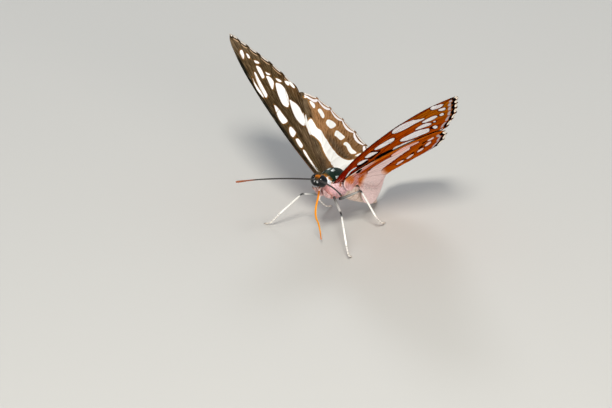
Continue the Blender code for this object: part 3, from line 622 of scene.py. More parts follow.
def hindSheet(x, y, side):
    # under the forewing at the front, up in a smooth step behind its rear edge, and folded down along
    # an arc beside the body
    form = wingForm
    ox, oy = math.cos(sweep), math.sin(sweep)
    out = ox * x + oy * y
    beyond = behindForewing(x, y) - form["rootHold"] * np.maximum(0, 1 - out / form["rootLength"])
    climb = form["step"][side] * soft(beyond, form["stepStart"], form["stepStart"] + form["stepLength"])
    z = foreSheet(x, y, side)[..., 2] - form["drop"] + climb + form["rise"][side] * np.maximum(beyond, 0)
    z = z + form["curl"] * np.maximum(beyond - form["curlStart"], 0) ** 2
    radius = form["foldRadius"]
    arc = np.maximum(form["foldStart"] - out, 0)
    turn = np.minimum(arc / radius, form["foldTurn"])
    rest = np.maximum(0, arc - radius * form["foldTurn"])
    kept = form["foldStart"] - radius * np.sin(turn) - rest * np.cos(turn)
    moved = np.where(out < form["foldStart"], kept - out, 0)
    z = z - radius * (1 - np.cos(turn)) - rest * np.sin(turn)
    return np.stack([x + moved * ox, y + moved * oy, z], -1)


sheets = {"fore": foreSheet, "hind": hindSheet}


def placeWing(local, side):
    placed = hinge + stance["hingeHalf"] * left + local @ np.array([wingX, wingY, wingZ])
    return placed * (mirrors[side], 1, 1)


def marginLine(ends, inset):
    # the margin bows inwards between each two vein ends, and lies further in by the fringe's length
    ends = np.array(ends)
    middle = ends.mean(0) * 0.5
    line = []
    for a, b in zip(ends[:-1], ends[1:]):
        length = np.linalg.norm(b - a)
        inward = np.array([-(b - a)[1], (b - a)[0]]) / length
        inward = inward * np.sign(inward @ (middle - a))
        t = np.linspace(0, 1, 14, endpoint=False)[:, None]
        bow = 4 * t * (1 - t) * (length > wingForm["scallopLeast"])
        line.append(a + (b - a) * t + inward * (wingForm["scallop"] * bow + inset))
    line = np.vstack(line + [ends[-1:]])
    if inset:
        plain = marginLine(ends, 0.0)
        toEnds = np.min([np.linalg.norm(line - end, axis=1) for end in ends[[0, -1]]], 0)
        line = plain + (line - plain) * np.clip(toEnds, 0, 1)[:, None]
    return line


def betweenVeins(points, ends):
    # 0 in line with each vein end and 1 midway between two
    along = fromLine(points, np.array(ends, float))[1] * (len(ends) - 1)
    part = along - np.floor(np.minimum(along, len(ends) - 1.001))
    return 4 * part * (1 - part)


def settleGrid(grid, rounds):
    # inner points move until their lines run evenly between the edges, which leaves no cell folded:
    # a p_uu - 2 b p_uv + c p_vv = 0 with a = |p_v|^2, b = p_u . p_v and c = |p_u|^2
    for _ in range(rounds):
        du = (grid[1:-1, 2:] - grid[1:-1, :-2]) / 2
        dv = (grid[2:, 1:-1] - grid[:-2, 1:-1]) / 2
        a, b, c = ((p * q).sum(-1, keepdims=True) for p, q in ((dv, dv), (du, dv), (du, du)))
        cross = (grid[2:, 2:] - grid[2:, :-2] - grid[:-2, 2:] + grid[:-2, :-2]) / 4
        across = a * (grid[1:-1, 2:] + grid[1:-1, :-2]) + c * (grid[2:, 1:-1] + grid[:-2, 1:-1])
        grid[1:-1, 1:-1] = (across - 2 * b * cross) / (2 * (a + c) + 1e-12)
    return grid


def wingGrid(wing):
    # Coons patch: the sum of the two ways across between the four edges, less the corners' own share
    rows, columns = wing["rows"], wing["columns"]
    top = curveThrough(wing["costa"], columns)
    bottom = curveThrough(wing["inner"][::-1], columns)
    far = evenly(marginLine(wing["ends"], wingForm["inset"]), rows)
    near = np.linspace(top[0], bottom[0], rows)
    u = np.linspace(0, 1, columns)[None, :, None]
    v = np.linspace(0, 1, rows)[:, None, None]
    corners = (1 - u) * ((1 - v) * top[0] + v * bottom[0]) + u * ((1 - v) * top[-1] + v * bottom[-1])
    grid = (1 - v) * top[None] + v * bottom[None] + (1 - u) * near[:, None] + u * far[:, None] - corners
    return settleGrid(grid, wing["settle"])


def foreGround(plan, upper, costa):
    # colours that change slowly over a forewing, before its marks
    x, y = plan.T
    if upper:
        return layered((88, 71, 47),
                       ((76, 61, 40), bump(x, 14, 6)),
                       ((106, 86, 64), soft(y, 0.6, 2.6) * soft(x, 14, 9) * 0.8),
                       ((110, 80, 50), soft(y, 7, 12) * soft(x, 14, 19) * 0.8),
                       ((102, 86, 66), soft(x, 24, 31) * 0.8),
                       ((20, 24, 18), soft(costa, 1.5, 0.7) * soft(x, 31, 26)),
                       ((110, 74, 48), soft(costa, 0.4, 0.15) * soft(x, 12, 5) * 0.8))
    return layered((158, 62, 2),
                   ((120, 30, 2), soft(costa, 1.3, 0.3)),
                   ((160, 88, 6), soft(x, 18, 28) * soft(costa, 0.3, 1.2)),
                   ((144, 14, 2), soft(x, 10, 2) * soft(y, 1.0, -1.0) * 0.8),
                   ((206, 150, 146), soft(y, 0.7, 1.7) * soft(x, 11, 7) * 0.8),
                   ((184, 92, 20), soft(y, 9.5, 11.5) * 0.7),
                   ((46, 20, 12), soft(costa, 0.22, 0.08)))


def hindGround(plan, upper, costa):
    # the same for a hindwing, with its root's streaks and the band's pale end below
    x, y = plan.T
    if upper:
        # above, the warm light brown of the outer part is painted light shining through the wing from its
        # orange underside; towards the root it is darker
        return layered((170, 124, 82),
                       ((128, 94, 62), soft(x, 9, 3)),
                       ((100, 80, 60), bump(x * 0.2 + y, 12.2, 1.6) * soft(x, 9, 5)),
                       ((96, 80, 60), soft(behindForewing(x, y), 2.6, 0.9)),
                       ((84, 66, 48), soft(y, 4.5, 2.5)),
                       ((226, 214, 206), soft(x, -1.5, -4.0)))
    depth = costa + 0.35 * np.maximum(x - 5.6, 0)
    streaks = [(paint, soft(fromLine(plan, np.array(line))[0], reach, reach * 0.3) * 0.85)
               for paint, line, reach in hindRootStreaks]
    toBand = fromMarks(plan, [hindLowerWhite["band"]])
    return layered((158, 60, 4),
                   ((190, 92, 8), soft(costa, 2.2, 1.2)),
                   ((176, 82, 4), bump(y + x * 0.25, 15.5, 3.5)),
                   ((214, 160, 158), soft(depth, 2.5, 1.7) * soft(x, 9.2, 7.4) * 0.9),
                   ((238, 214, 206), soft(costa, 0.4, 0.15) * soft(x, 9.0, 7.6)),
                   ((222, 168, 158), bump(y - 0.5 * x, 1.6, 0.9) * soft(x, 7, 5) * 0.6),
                   ((210, 172, 178), soft(x, 1.6, -0.4) * soft(y, 5, 3) * 0.8),
                   *streaks,
                   ((228, 198, 192), soft(toBand, 1.3, 0.1) * soft(x, 3.2, 1.8) * 0.85),
                   ((226, 200, 198), soft(x, 0.0, -2.5)))


grounds = {"fore": foreGround, "hind": hindGround}


def markColours(kind, plan, upper):
    # the white marks' own colour: clean above, lilac or pinkish below
    base = (255, 254, 250) if upper else (226, 226, 228) if kind == "fore" else (232, 210, 207)
    pink = soft(fromMarks(plan, [hindLowerWhite["pinkStripe"]]), 0.25, -0.1)
    return layered(base, ((236, 190, 180), pink * (kind == "hind" and not upper)))


paleLines = {
    # lunules behind the margin: place, bow, half width and gap at the veins; then the ticks' gap
    ("fore", True): (1.1, 0.1, 0.13, 0.5, 0.66),
    ("fore", False): (1.6, 0.0, 0.3, 0.4, 0.6),
    ("hind", True): (0.72, 0.62, 0.38, 0.24, 0.4),
    ("hind", False): (1.5, 0.1, 0.3, 0.35, 0.4),
}
blackLines = {
    # middle and half width above; below, the blocks' middle, their half width at the veins and what it
    # gains between them, and the gap at the veins
    "fore": (0.68, 0.12), "hind": (0.62, 0.02), "below": (0.86, 0.24, 0.14, 0.4),
}


def fromPaleLines(kind, upper, edge, between):
    # thin pale lunules behind the margin and pale ticks along it, both cut by the veins; negative inside
    middle, bow, half, gap, tick = paleLines[kind, upper]
    middle = middle + bow * between
    lunule = np.maximum(np.abs(edge - middle) - half * (0.4 + 0.6 * between), (gap - between) * 1.2)
    return np.minimum(lunule, np.maximum(edge - wingForm["tick"], (tick - between) * 0.8))


def fromBlackLines(kind, upper, edge, between):
    # the dark line in from the fringe, which underneath is a chain of black blocks
    if upper:
        middle, half = blackLines[kind]
        return np.abs(edge - middle) - half
    middle, half, gain, gap = blackLines["below"]
    block = np.abs(edge - middle) - half - gain * between
    return np.minimum(block, np.maximum(edge - wingForm["tick"], between - gap))


def wingFields(kind, plan, upper):
    # every field of one face of a wing at the places of its plan
    wing = wings[kind]
    x, y = plan.T
    edge = fromLine(plan, marginLine(wing["ends"], 0.0))[0]
    between = betweenVeins(plan, wing["ends"])
    costa = fromCurves(plan, [wing["costa"]], 60)
    vein = line = fromCurves(plan, wing["veins"])
    if wing["lowerLines"] and not upper:
        line = np.minimum(vein, fromCurves(plan, wing["lowerLines"]) - 0.1)
    whiteMarks, darkMarks = (group.values() for group in marks[kind, upper])
    away = plan - np.array(wing["flowRoot"])
    turned = np.arctan2(away[:, 1], away[:, 0]) * wingForm["flowTurn"]
    face = np.full(len(plan), float(upper))
    white = fromMarks(plan, whiteMarks)
    return {
        "upper": face,
        "white": white,
        "shaded": white if upper else fromMarks(plan + wingForm["shadeStep"], whiteMarks),
        "dark": np.minimum(fromMarks(plan, darkMarks), fromBlackLines(kind, upper, edge, between)),
        "pale": fromPaleLines(kind, upper, edge, between),
        "vein": vein,
        "line": line,
        "edge": edge,
        "flow": np.stack([np.linalg.norm(away, axis=1), turned, face * wingForm["flowApart"]], 1),
        "plan": np.stack([x, y, face * wingForm["planApart"]], 1),
        "calm": 0 * x if kind == "fore" else soft(x, 0.5, -1.5) if upper else soft(x, 3.6, 1.2),
        "groundColour": grounds[kind](plan, upper, costa),
        "markColour": markColours(kind, plan, upper),
    }


def makeWing(kind, side, material):
    rows, columns = wings[kind]["rows"], wings[kind]["columns"]
    plan = wingGrid(wings[kind]).reshape(-1, 2)
    faceFields = [wingFields(kind, plan, upper) for upper in (True, False)]
    fields = {name: np.concatenate([face[name] for face in faceFields]) for name in faceFields[0]}
    vein, edge = faceFields[0]["vein"], faceFields[0]["edge"]
    fade = soft(edge, 0.0, 6.0)
    ridge = wingForm["vein"] * bump(vein, 0, wingForm["veinWidth"]) * (0.35 + 0.65 * fade)
    half = wingForm["thickness"] * (0.45 + 0.55 * fade) + ridge
    dish = wingForm["dish"] * (1 - bump(vein, 0, wingForm["dishWidth"])) * soft(edge, 0.0, 2.0)
    base = sheets[kind](*plan.T, side)
    both = [placeWing(base + np.stack([0 * z, 0 * z, z], 1), side) for z in (half - dish, -half - dish)]
    faces, count = gridFaces(rows, columns), rows * columns
    index = np.arange(count).reshape(rows, columns)
    loop = np.concatenate([index[0, :-1], index[:-1, -1], index[-1, :0:-1], index[:0:-1, 0]])
    after = np.roll(loop, -1)
    rim = np.stack([loop, loop + count, after + count, after], 1)
    quads = np.vstack([faces, faces[:, ::-1] + count, rim])[:, ::mirrors[side]]
    piece = addPiece(f"{kind}wing_{side}_scaled", np.vstack(both), quads, material, "wing",
                     [f"{kind}wing_{side}"], fields)
    # unwrap: the upper face above, the lower face below, and the rim in a strip at the edge
    edge, (low, high) = wingForm["unwrapEdge"], wingForm["unwrapStrip"]
    placed = (plan - plan.min(0)) * (wingForm["unwrap"] / np.ptp(plan, axis=0)).min() + edge
    unwrap = np.vstack([placed + (0, 0.5), placed])[quads]
    share = np.linspace(edge, 1 - edge, len(rim) + 1)
    unwrap[2 * len(faces):, :, 0] = [low, high, high, low]
    unwrap[2 * len(faces):, :, 1] = np.stack([share[:-1], share[:-1], share[1:], share[1:]], 1)
    addMap(piece, unwrap)


def gridFaces(rows, columns):
    # quads of a grid of points
    first = (np.arange(rows - 1)[:, None] * columns + np.arange(columns - 1)).ravel()
    return np.stack([first, first + 1, first + columns + 1, first + columns], 1)


wingLook = {
    # colours of the veins below, of the white marks' rims above and of the lunules above; strength of
    # the veins above, on the ground and across the white marks
    "fore": ((92, 12, 2), (124, 84, 34), (188, 156, 124), 0.7, 0.4),
    "hind": ((112, 24, 4), (156, 110, 54), (242, 236, 236), 0.2, 0.07),
}


def wingMaterial(kind):
    veinBelow, rimAbove, lunuleAbove, veinsAbove, crossingAbove = wingLook[kind]
    made, tree, shader = newMaterial(f"{kind}wing scales", 0.8, 0.0)
    upper, calm = field(tree, "upper"), field(tree, "calm")
    flow, plan = field(tree, "flow", "Vector"), field(tree, "plan", "Vector")
    lively = plus(tree, times(tree, calm, -1.0), 1.0)
    streak = noise(tree, stretch(tree, flow, (0.35, 2.6, 1.0)), 1.6, 3.0, 0.6)
    clump = noise(tree, plan, 0.5, 3.0, 0.6)
    ragged = times(tree, plus(tree, noise(tree, plan, 4.0), -0.5), 0.16)
    # the rows of scales as one number, not a colour
    scaleRows = plus(tree, cells(tree, stretch(tree, flow, (6.0, 11.0, 1.0)), 1.0), 0.0)
    ground = paintField(tree, "groundColour")
    deeper = blend(tree, 1.0, ground, (148, 134, 120), "MULTIPLY")
    lighter = blend(tree, 0.3, ground, blend(tree, upper, (220, 100, 6), (206, 176, 140)))
    colour = blend(tree, times(tree, step(tree, streak, 0.5, 0.32), lively), ground, deeper)
    colour = blend(tree, step(tree, streak, 0.52, 0.72, 0.0, 0.6), colour, lighter)
    colour = blend(tree, times(tree, step(tree, clump, 0.42, 0.7, 0.0, 0.3), lively), colour, deeper)
    line = field(tree, "line")
    strength = times(tree, step(tree, calm, 0.2, 0.9, 1.0, 0.35),
                     step(tree, upper, 0.0, 1.0, 1.0, veinsAbove))
    colour = blend(tree, times(tree, step(tree, line, 0.24, 0.08, 0.0, 0.85), strength), colour,
                   blend(tree, upper, veinBelow, (40, 30, 22)))
    colour = blend(tree, step(tree, plus(tree, field(tree, "dark"), ragged), 0.06, -0.06), colour, (8, 6, 6))
    white = plus(tree, plus(tree, field(tree, "white"), 0.07), ragged)
    colour = blend(tree, times(tree, step(tree, white, 0.4, 0.12, 0.0, 0.85), lively), colour,
                   blend(tree, upper, (70, 8, 2), rimAbove))
    # a shade beside the white marks, below only
    shaded = plus(tree, plus(tree, field(tree, "shaded"), ragged), upper)
    colour = blend(tree, times(tree, step(tree, shaded, 0.1, -0.1, 0.0, 0.85), lively), colour, (26, 5, 4))
    lunules = blend(tree, upper, (170, 160, 164), lunuleAbove)
    ticks = blend(tree, upper, (252, 242, 224), (236, 228, 220))
    colour = blend(tree, step(tree, plus(tree, field(tree, "pale"), ragged), 0.07, -0.05), colour,
                   blend(tree, step(tree, field(tree, "edge"), 0.55, 0.75), ticks, lunules))
    clean = blend(tree, step(tree, streak, 0.3, 0.7, 0.0, 0.8), paintField(tree, "markColour"),
                  blend(tree, upper, (228, 222, 224), (248, 248, 248)), "MULTIPLY")
    crossing = step(tree, upper, 0.0, 1.0, 0.3, crossingAbove)
    clean = blend(tree, times(tree, step(tree, line, 0.2, 0.08), crossing), clean,
                  blend(tree, upper, (104, 22, 8), (120, 100, 74)))
    colour = blend(tree, step(tree, white, 0.06, -0.06), colour, clean)
    wire(tree, blend(tree, 0.15, colour, scaleRows, "SOFT_LIGHT"), shader.inputs["Base Color"])
    relief(tree, shader, plus(tree, times(tree, streak, 0.6), scaleRows), 0.00004, 0.4)
    return made


for kind in wings:
    scales = wingMaterial(kind)
    for side in mirrors:
        makeWing(kind, side, scales)
print("wings made")


# Tufts: thin blades of hair or scales

tuftForm = {
    # share of the length and of the width at each of three rings; the corners aside and outwards;
    # the least height, and the patch on the unwrap
    "rows": (0.0, 0.4, 0.78), "broad": (0.6, 1.0, 0.62),
    "aside": (-1.0, 0.0, 1.0), "lift": (-0.3, 1.0, -0.3),
    "floor": 0.02, "patch": (0.0015, 0.001),
}


def tuftMesh(roots, ways, outs, length, width, bend, thick):
    # rings of three corners along a line that bends with the square of its length, and a tip
    count = len(roots)
    across = unit(np.cross(ways, outs))
    outs = unit(np.cross(across, ways))[:, None]
    roots, ways, across = roots[:, None], ways[:, None], across[:, None]
    length, width, bend = ((value * np.ones(count))[:, None, None] for value in (length, width, bend))
    rows, broad, aside, lift = (np.array(tuftForm[k])[:, None] for k in ("rows", "broad", "aside", "lift"))
    line = roots + ways * (length * rows) + outs * (length * bend * rows ** 2)
    corners = aside * across + lift * outs * thick
    rings = line[:, :, None] + (width * broad / 2)[..., None] * corners[:, None]
    tips = roots + ways * length + outs * (length * bend)
    points = np.concatenate([rings.reshape(count, 9, 3), tips], 1).reshape(-1, 3)
    walls = np.array([(r * 3 + c, r * 3 + (c + 1) % 3, r * 3 + 3 + (c + 1) % 3, r * 3 + 3 + c)
                      for r in (0, 1) for c in range(3)])
    ends = np.array([(6, 7, 9), (7, 8, 9), (8, 6, 9), (2, 1, 0)])
    offset = (np.arange(count) * 10)[:, None, None]
    return points, [(walls + offset).reshape(-1, 4), (ends + offset).reshape(-1, 3)]


def addTufts(name, material, slot, roots, ways, outs, length, width, bend, colours, rootMap, thick=0.5):
    # each tuft takes one colour, and a patch about 0.003 across at its root's place on the unwrap
    points, faces = tuftMesh(roots, ways, outs, length, width, bend, thick)
    points[:, 2] = np.maximum(points[:, 2], tuftForm["floor"])
    piece = addPiece(name, points, faces, material, slot, (), {
        "tuftColour": np.repeat(colours, 10, 0),
        "tuftShare": np.tile(np.repeat([*tuftForm["rows"], 1.0], [3, 3, 3, 1]), len(roots)),
    })
    corner = np.arange(10)
    patch = np.stack([np.where(corner < 9, corner % 3, 1), corner // 3], 1) * tuftForm["patch"]
    corners = np.empty(len(piece.data.loops), np.int32)
    piece.data.loops.foreach_get("vertex_index", corners)
    addMap(piece, (rootMap[:, None] + patch).reshape(-1, 2)[corners])


def tuftMaterial(name, roughness, specular, tipLight):
    # darker at the root, as painted shade deep in the coat, and lighter at the tip, as painted light on the
    # tips
    made, tree, shader = newMaterial(name, roughness, specular)
    colour, share = paintField(tree, "tuftColour"), field(tree, "tuftShare")
    colour = blend(tree, step(tree, share, 0.45, 0.0, 0.0, 0.5), colour, (206, 190, 186), "MULTIPLY")
    colour = blend(tree, step(tree, share, 0.5, 1.0, 0.0, tipLight), colour, colour, "SCREEN")
    wire(tree, colour, shader.inputs["Base Color"])
    return made


def faceMap(place, face):
    # the upper face's roots in the upper half of the unwrap, the lower face's in the other
    return np.stack([place[:, 0], place[:, 1] * 0.5 + np.where(face > 0, 0.5, 0.0)], 1)


# Fringe of the wings: white scales between the vein ends, dark ones at them

fringe = {
    "spacing": 0.075, "length": 0.42, "width": 0.12, "thick": 0.18, "rootIn": 0.14, "apart": 0.012,
    # spread of the places, of the directions, of the change of colour and of the bend
    "spread": 0.02, "lean": 0.16, "mixing": 0.12, "bend": 0.06, "seed": 5,
    "paleFrom": {"fore": 0.5, "hind": 0.32},
    "pale": {"fore": (204, 188, 164), "hind": (236, 228, 222)},
    "dark": (74, 56, 40), "paleBelow": (244, 238, 226), "darkBelow": (14, 11, 11),
}


def makeFringe(kind, side, material):
    sheet, veinEnds = sheets[kind], wings[kind]["ends"]
    rng = np.random.default_rng(fringe["seed"] + len(kind + side))
    margin = marginLine(veinEnds, wingForm["inset"])
    count = int(np.linalg.norm(np.diff(margin, axis=0), axis=1).sum() / fringe["spacing"])
    line, middle = evenly(margin, count), np.mean(veinEnds, axis=0) * 0.5
    along = unit(np.gradient(line, axis=0))
    parts = []
    for layer in (1, -1):
        place = line + rng.normal(0, fringe["spread"], (count, 2))
        off = np.stack([along[:, 1], -along[:, 0]], 1)
        off = off * np.sign((off * (place - middle)).sum(1))[:, None]
        off = unit(off + along * rng.normal(0, fringe["lean"], (count, 1)))
        start = sheet(*(place - off * fringe["rootIn"]).T, side) + (0, 0, fringe["apart"] * layer)
        end = sheet(*(place + off * 0.5).T, side)
        parts.append((placeWing(start, side), placeWing(end, side), place, np.full(count, layer)))
    roots, ends, place, layer = (np.concatenate(column) for column in zip(*parts))
    total, above = len(place), layer[:, None] > 0
    share = betweenVeins(place, veinEnds)
    pale = (share + rng.normal(0, fringe["mixing"], total) > fringe["paleFrom"][kind])[:, None]
    white = np.where(above, fringe["pale"][kind], fringe["paleBelow"])
    brown = np.where(above, fringe["dark"], fringe["darkBelow"])
    colours = np.where(pale, white, brown) * rng.uniform(0.85, 1.0, (total, 1))
    length = fringe["length"] * rng.uniform(0.8, 1.15, total) * (0.3 + 0.7 * np.sqrt(share))
    rootMap = faceMap((place - place.min(0)) / np.ptp(place, axis=0).max() * 0.9 + 0.04, layer)
    addTufts(f"{kind}wing_{side}_fringe", material, "wing", roots, unit(ends - roots),
             wingZ * (mirrors[side], 1, 1) * layer[:, None], length, fringe["width"],
             rng.normal(0, fringe["bend"], total), colours, rootMap, fringe["thick"])


wingHair = {
    # count and length of the hairs near a wing's root and beside the body, above (1) and below
    ("fore", 1): (700, 0.7), ("fore", -1): (800, 0.6),
    ("hind", 1): (1500, 0.8), ("hind", -1): (1900, 0.7),
    "width": 0.05, "inset": 0.25, "reach": 0.05, "lift": 0.04, "seed": 31, "nearRoot": (5.0, 1.5),
    "low": (-7.5, -4.0), "high": {"fore": (6.0, 4.0), "hind": (6.0, 19.0)},
    "olive": {"fore": 0.7, "hind": 0.3},
    "mapLow": (-8.0, -7.0), "mapSize": 42.0,
}


def makeWingHair(kind, side, material):
    wing, sheet = wings[kind], sheets[kind]
    rng = np.random.default_rng(wingHair["seed"] + len(kind + side))
    outline = np.array(wing["costa"] + wing["ends"][1:] + wing["inner"][1:-1], float)
    low, high = np.array(wingHair["low"]), np.array(wingHair["high"][kind])
    kept = []
    for face in (1, -1):
        count, length = wingHair[kind, face]
        plan = low + rng.random((count * 14, 2)) * (high - low)
        far = np.linalg.norm(plan - wing["hairRoot"], axis=1)
        wanted = soft(far, *wingHair["nearRoot"])
        if kind == "hind":
            wanted = np.maximum(wanted, 0.55 * soft(plan[:, 0], 0.8, -1.8) * soft(far, 17, 9))
        inside = fromOutline(plan, outline) < -wingHair["inset"]
        plan = plan[(rng.random(len(plan)) < wanted) & inside][:count]
        away = unit(unit(plan - wing["hairRoot"]) + rng.normal(0, 0.18, (len(plan), 2)))
        start = sheet(*plan.T, side)
        along, aside = (sheet(*(plan + way * wingHair["reach"]).T, side) - start
                        for way in (away, away[:, ::-1] * (-1, 1)))
        out = unit(np.cross(along, aside)) * face
        root, *ends = (placeWing(start + way, side) for way in (out * wingHair["lift"], 0, unit(along), out))
        kept.append((root, ends[1] - ends[0], ends[2] - ends[0], plan,
                     np.full(len(plan), face), np.full(len(plan), length)))
    roots, ways, outs, plan, face, length = (np.concatenate(column) for column in zip(*kept))
    total = len(plan)
    above, below = (grounds[kind](plan, upper, np.full(total, 3.0)) for upper in (True, False))
    near = soft(np.linalg.norm(plan - wing["hairRoot"], axis=1), *wingHair["nearRoot"])
    above = layered(above, ((96, 88, 62), near * wingHair["olive"][kind]))
    below = layered(below, ((222, 180, 176), 0.3 + 0.4 * near))
    if kind == "hind":
        above = layered(above, ((248, 244, 236), fromMarks(plan, [hindUpperWhite["band"]]) < 0.35))
        below = layered(below, ((240, 222, 218), fromMarks(plan, [hindLowerWhite["band"]]) < 0.25))
    colours = np.where(face[:, None] > 0, above, below) * rng.uniform(0.8, 1.1, (total, 1))
    ways = unit(ways + outs * rng.uniform(0.02, 0.14, (total, 1)))
    addTufts(f"{kind}wing_{side}_hair", material, "wing", roots, ways, outs,
             length * rng.uniform(0.6, 1.2, total), wingHair["width"], rng.uniform(-0.12, -0.02, total),
             colours, faceMap((plan - wingHair["mapLow"]) / wingHair["mapSize"] * 0.9 + 0.03, face))


fringeScales = tuftMaterial("fringe scales", 0.7, 0.1, 0.1)
hairs = tuftMaterial("wing hair", 0.6, 0.15, 0.3)
for kind in wings:
    for side in mirrors:
        makeFringe(kind, side, fringeScales)
        makeWingHair(kind, side, hairs)
print("fringes and wing hair made")


# Tubes: a round profile carried along a path

def tubeGrid(path, radii, sides, firstSide=(0.3, 0.5, 0.8)):
    # at each place the radius times the cosine and sine of the turn, along two directions square to
    # the path; the first direction is carried along without twist
    along = unit(np.gradient(path, axis=0))
    sideways = []
    side = np.array(firstSide, float)
    for direction in along:
        side = unit(side - (side @ direction) * direction)
        sideways.append(side)
    sideways = np.array(sideways)
    other = np.cross(along, sideways)[:, None]
    turn = np.arange(sides)[None, :, None] * 2 * math.pi / sides
    radii = np.asarray(radii, float).reshape(len(path), -1, 1)
    return path[:, None] + radii * (np.cos(turn) * sideways[:, None] + np.sin(turn) * other)


def tubeFaces(rings, sides):
    # quads round each pair of rings, and a fan of corners at both ends
    r = np.arange(rings - 1)[:, None] * sides
    s = np.arange(sides)[None]
    n = (s + 1) % sides
    walls = np.stack([r + s, r + n, r + sides + n, r + sides + s], -1).reshape(-1, 4)
    first = s[:, ::-1]
    return [walls, first, first[:, ::-1] + (rings - 1) * sides]


def joinParts(parts):
    # several (points, faces, fields) as one
    points = np.vstack([p for p, _, _ in parts])
    offsets = np.cumsum([0] + [len(p) for p, _, _ in parts[:-1]])
    faces = [f + offset for (_, fs, _), offset in zip(parts, offsets) for f in fs]
    fields = {k: np.concatenate([fields[k] for _, _, fields in parts]) for k in parts[0][2]}
    return points, faces, fields


def tubePart(path, radii, sides, colour):
    # a tube in one colour, or one for each place of its path
    colours = np.repeat(np.asarray(colour, float) * np.ones((len(path), 1)), sides, 0)
    return tubeGrid(path, radii, sides).reshape(-1, 3), tubeFaces(len(path), sides), {"partColour": colours}


def addTube(name, material, slot, node, part):
    # a piece from one tube, in place of one node
    addPiece(name, *part[:2], material, slot, [node], part[2])


limbHairs = tuftMaterial("limb hair", 0.6, 0.2, 0.2)


def furLimb(name, slot, path, width, fur, shade):
    # hairs all round a limb, lying towards its end
    rng = np.random.default_rng(fur["seed"])
    count = fur["hairs"]
    at, turn = rng.random(count), rng.uniform(0, 2 * math.pi, count)
    along = unit(readAlong(at, unit(np.gradient(path, axis=0))))
    first = unit(np.cross(along, left))
    outs = first * np.cos(turn)[:, None] + np.cross(along, first) * np.sin(turn)[:, None]
    roots = readAlong(at, path) + outs * (readAlong(at, width[:, None]) - 0.03)
    colours = readAlong(at, shade) * rng.uniform(0.8, 1.05, (count, 1))
    addTufts(name, limbHairs, slot, roots, unit(along + outs * fur["lean"]), outs,
             fur["length"] * rng.uniform(0.7, 1.3, count), fur["width"], -0.1, colours,
             np.stack([0.05 + at * 0.9, 0.05 + turn / 7.0], 1))


# Feelers, proboscis, eyes and palps

feeler = {
    "tips": {"left": (11.6, -15.6, 19.0), "right": (-10.2, -18.3, 16.9)},
    "root": (0.3, 0.35, 0.9), "bow": 0.35,
    "rings": 46, "radius": 0.14, "ringDepth": 0.012, "socket": 0.1, "club": 0.22, "clubStart": 0.84,
    # shares of the length and the colours there
    "shades": {"left": ([0, 0.9, 0.97, 1], [(26, 22, 20), (30, 24, 20), (46, 34, 26), (120, 70, 34)]),
               "right": ([0, 0.74, 0.8, 1], [(26, 22, 20), (34, 26, 20), (128, 62, 22), (150, 74, 26)])},
}


def makeFeelers():
    made = grainedMaterial("feeler rings")
    for side, mirror in mirrors.items():
        root = headPoint(np.array(feeler["root"]) * (mirror, 1, 1))
        reach = np.array(feeler["tips"][side]) - root
        bow = unit(np.cross(reach, left)) * feeler["bow"]
        path = curveThrough([root, root + reach * 0.35 + bow, root + reach * 0.7 + bow, root + reach],
                            feeler["rings"] * 5 + 1)
        t = np.linspace(0, 1, len(path))
        ringed = np.abs(np.sin(t * math.pi * feeler["rings"])) ** 0.5
        radius = feeler["radius"] * (1 - 0.15 * t) + feeler["ringDepth"] * ringed
        club = soft(t, feeler["clubStart"], 0.95) * rounded(1 - soft(t, 0.955, 1.0) ** 2, 1.0, 0.02)
        radius = radius * rounded(1 - t, 0.01, 0.1) + club * (feeler["club"] - feeler["radius"])
        radius = radius + feeler["socket"] * bump(t, 0.015, 0.012)
        colour = ramp(t, *feeler["shades"][side]) * (0.72 + 0.28 * ringed[:, None])
        addTube(f"antenna_{side}_ringed", made, "antenna", f"antenna_{side}",
                tubePart(path, radius, 12, colour))


tongue = {
    "path": [(0.0, -4.85, 12.75), (0.0, -5.1, 12.1), (0.0, -5.45, 10.7), (0.0, -6.1, 9.3), (0.0, -6.35, 7.8),
             (0.0, -6.05, 6.4), (0.0, -5.4, 5.2), (0.0, -4.75, 3.2), (0.0, -4.3, 1.0)],
    "radius": 0.185, "tip": 0.11, "groove": 0.25, "rings": 150, "ringDepth": 0.035, "sides": 20,
    "shades": ([0, 0.3, 0.8, 1], [(190, 100, 4), (232, 146, 2), (240, 160, 4), (208, 112, 6)]),
}


def makeTongue():
    made, tree, shader = newMaterial("amber tongue", 0.38, 0.25)
    wire(tree, paintField(tree), shader.inputs["Base Color"])
    shader.inputs["Subsurface Weight"].default_value = 0.15
    shader.inputs["Subsurface Radius"].default_value = (0.0006, 0.0003, 0.0001)
    sides = tongue["sides"]
    path = curveThrough(tongue["path"], tongue["rings"] * 2 + 1)
    t = np.linspace(0, 1, len(path))
    # two half pipes side by side: the radius dips at both seams, and fine rings cross it
    seam = 1 - tongue["groove"] * np.abs(np.cos(np.arange(sides) * 2 * math.pi / sides)) ** 8
    ringed = 1 + tongue["ringDepth"] * np.sin(t * math.pi * tongue["rings"])
    radius = (tongue["radius"] + (tongue["tip"] - tongue["radius"]) * soft(t, 0.5, 1.0)) * ringed
    grid = tubeGrid(path, (radius * rounded(1 - t, 0.01, 0.15))[:, None] * seam, sides, (0.0, 1.0, 0.3))
    colour = np.repeat(ramp(t, *tongue["shades"]), sides, 0) * (0.8 + 0.2 * np.tile(seam, len(path)))[:, None]
    addTube("proboscis_grooved", made, "proboscis", "proboscis",
            (grid.reshape(-1, 3), tubeFaces(len(path), sides), {"partColour": colour}))


eyeForm = {"radii": (1.2, 1.2, 1.32), "out": 0.5, "base": 0.6, "rings": 40, "sides": 64}


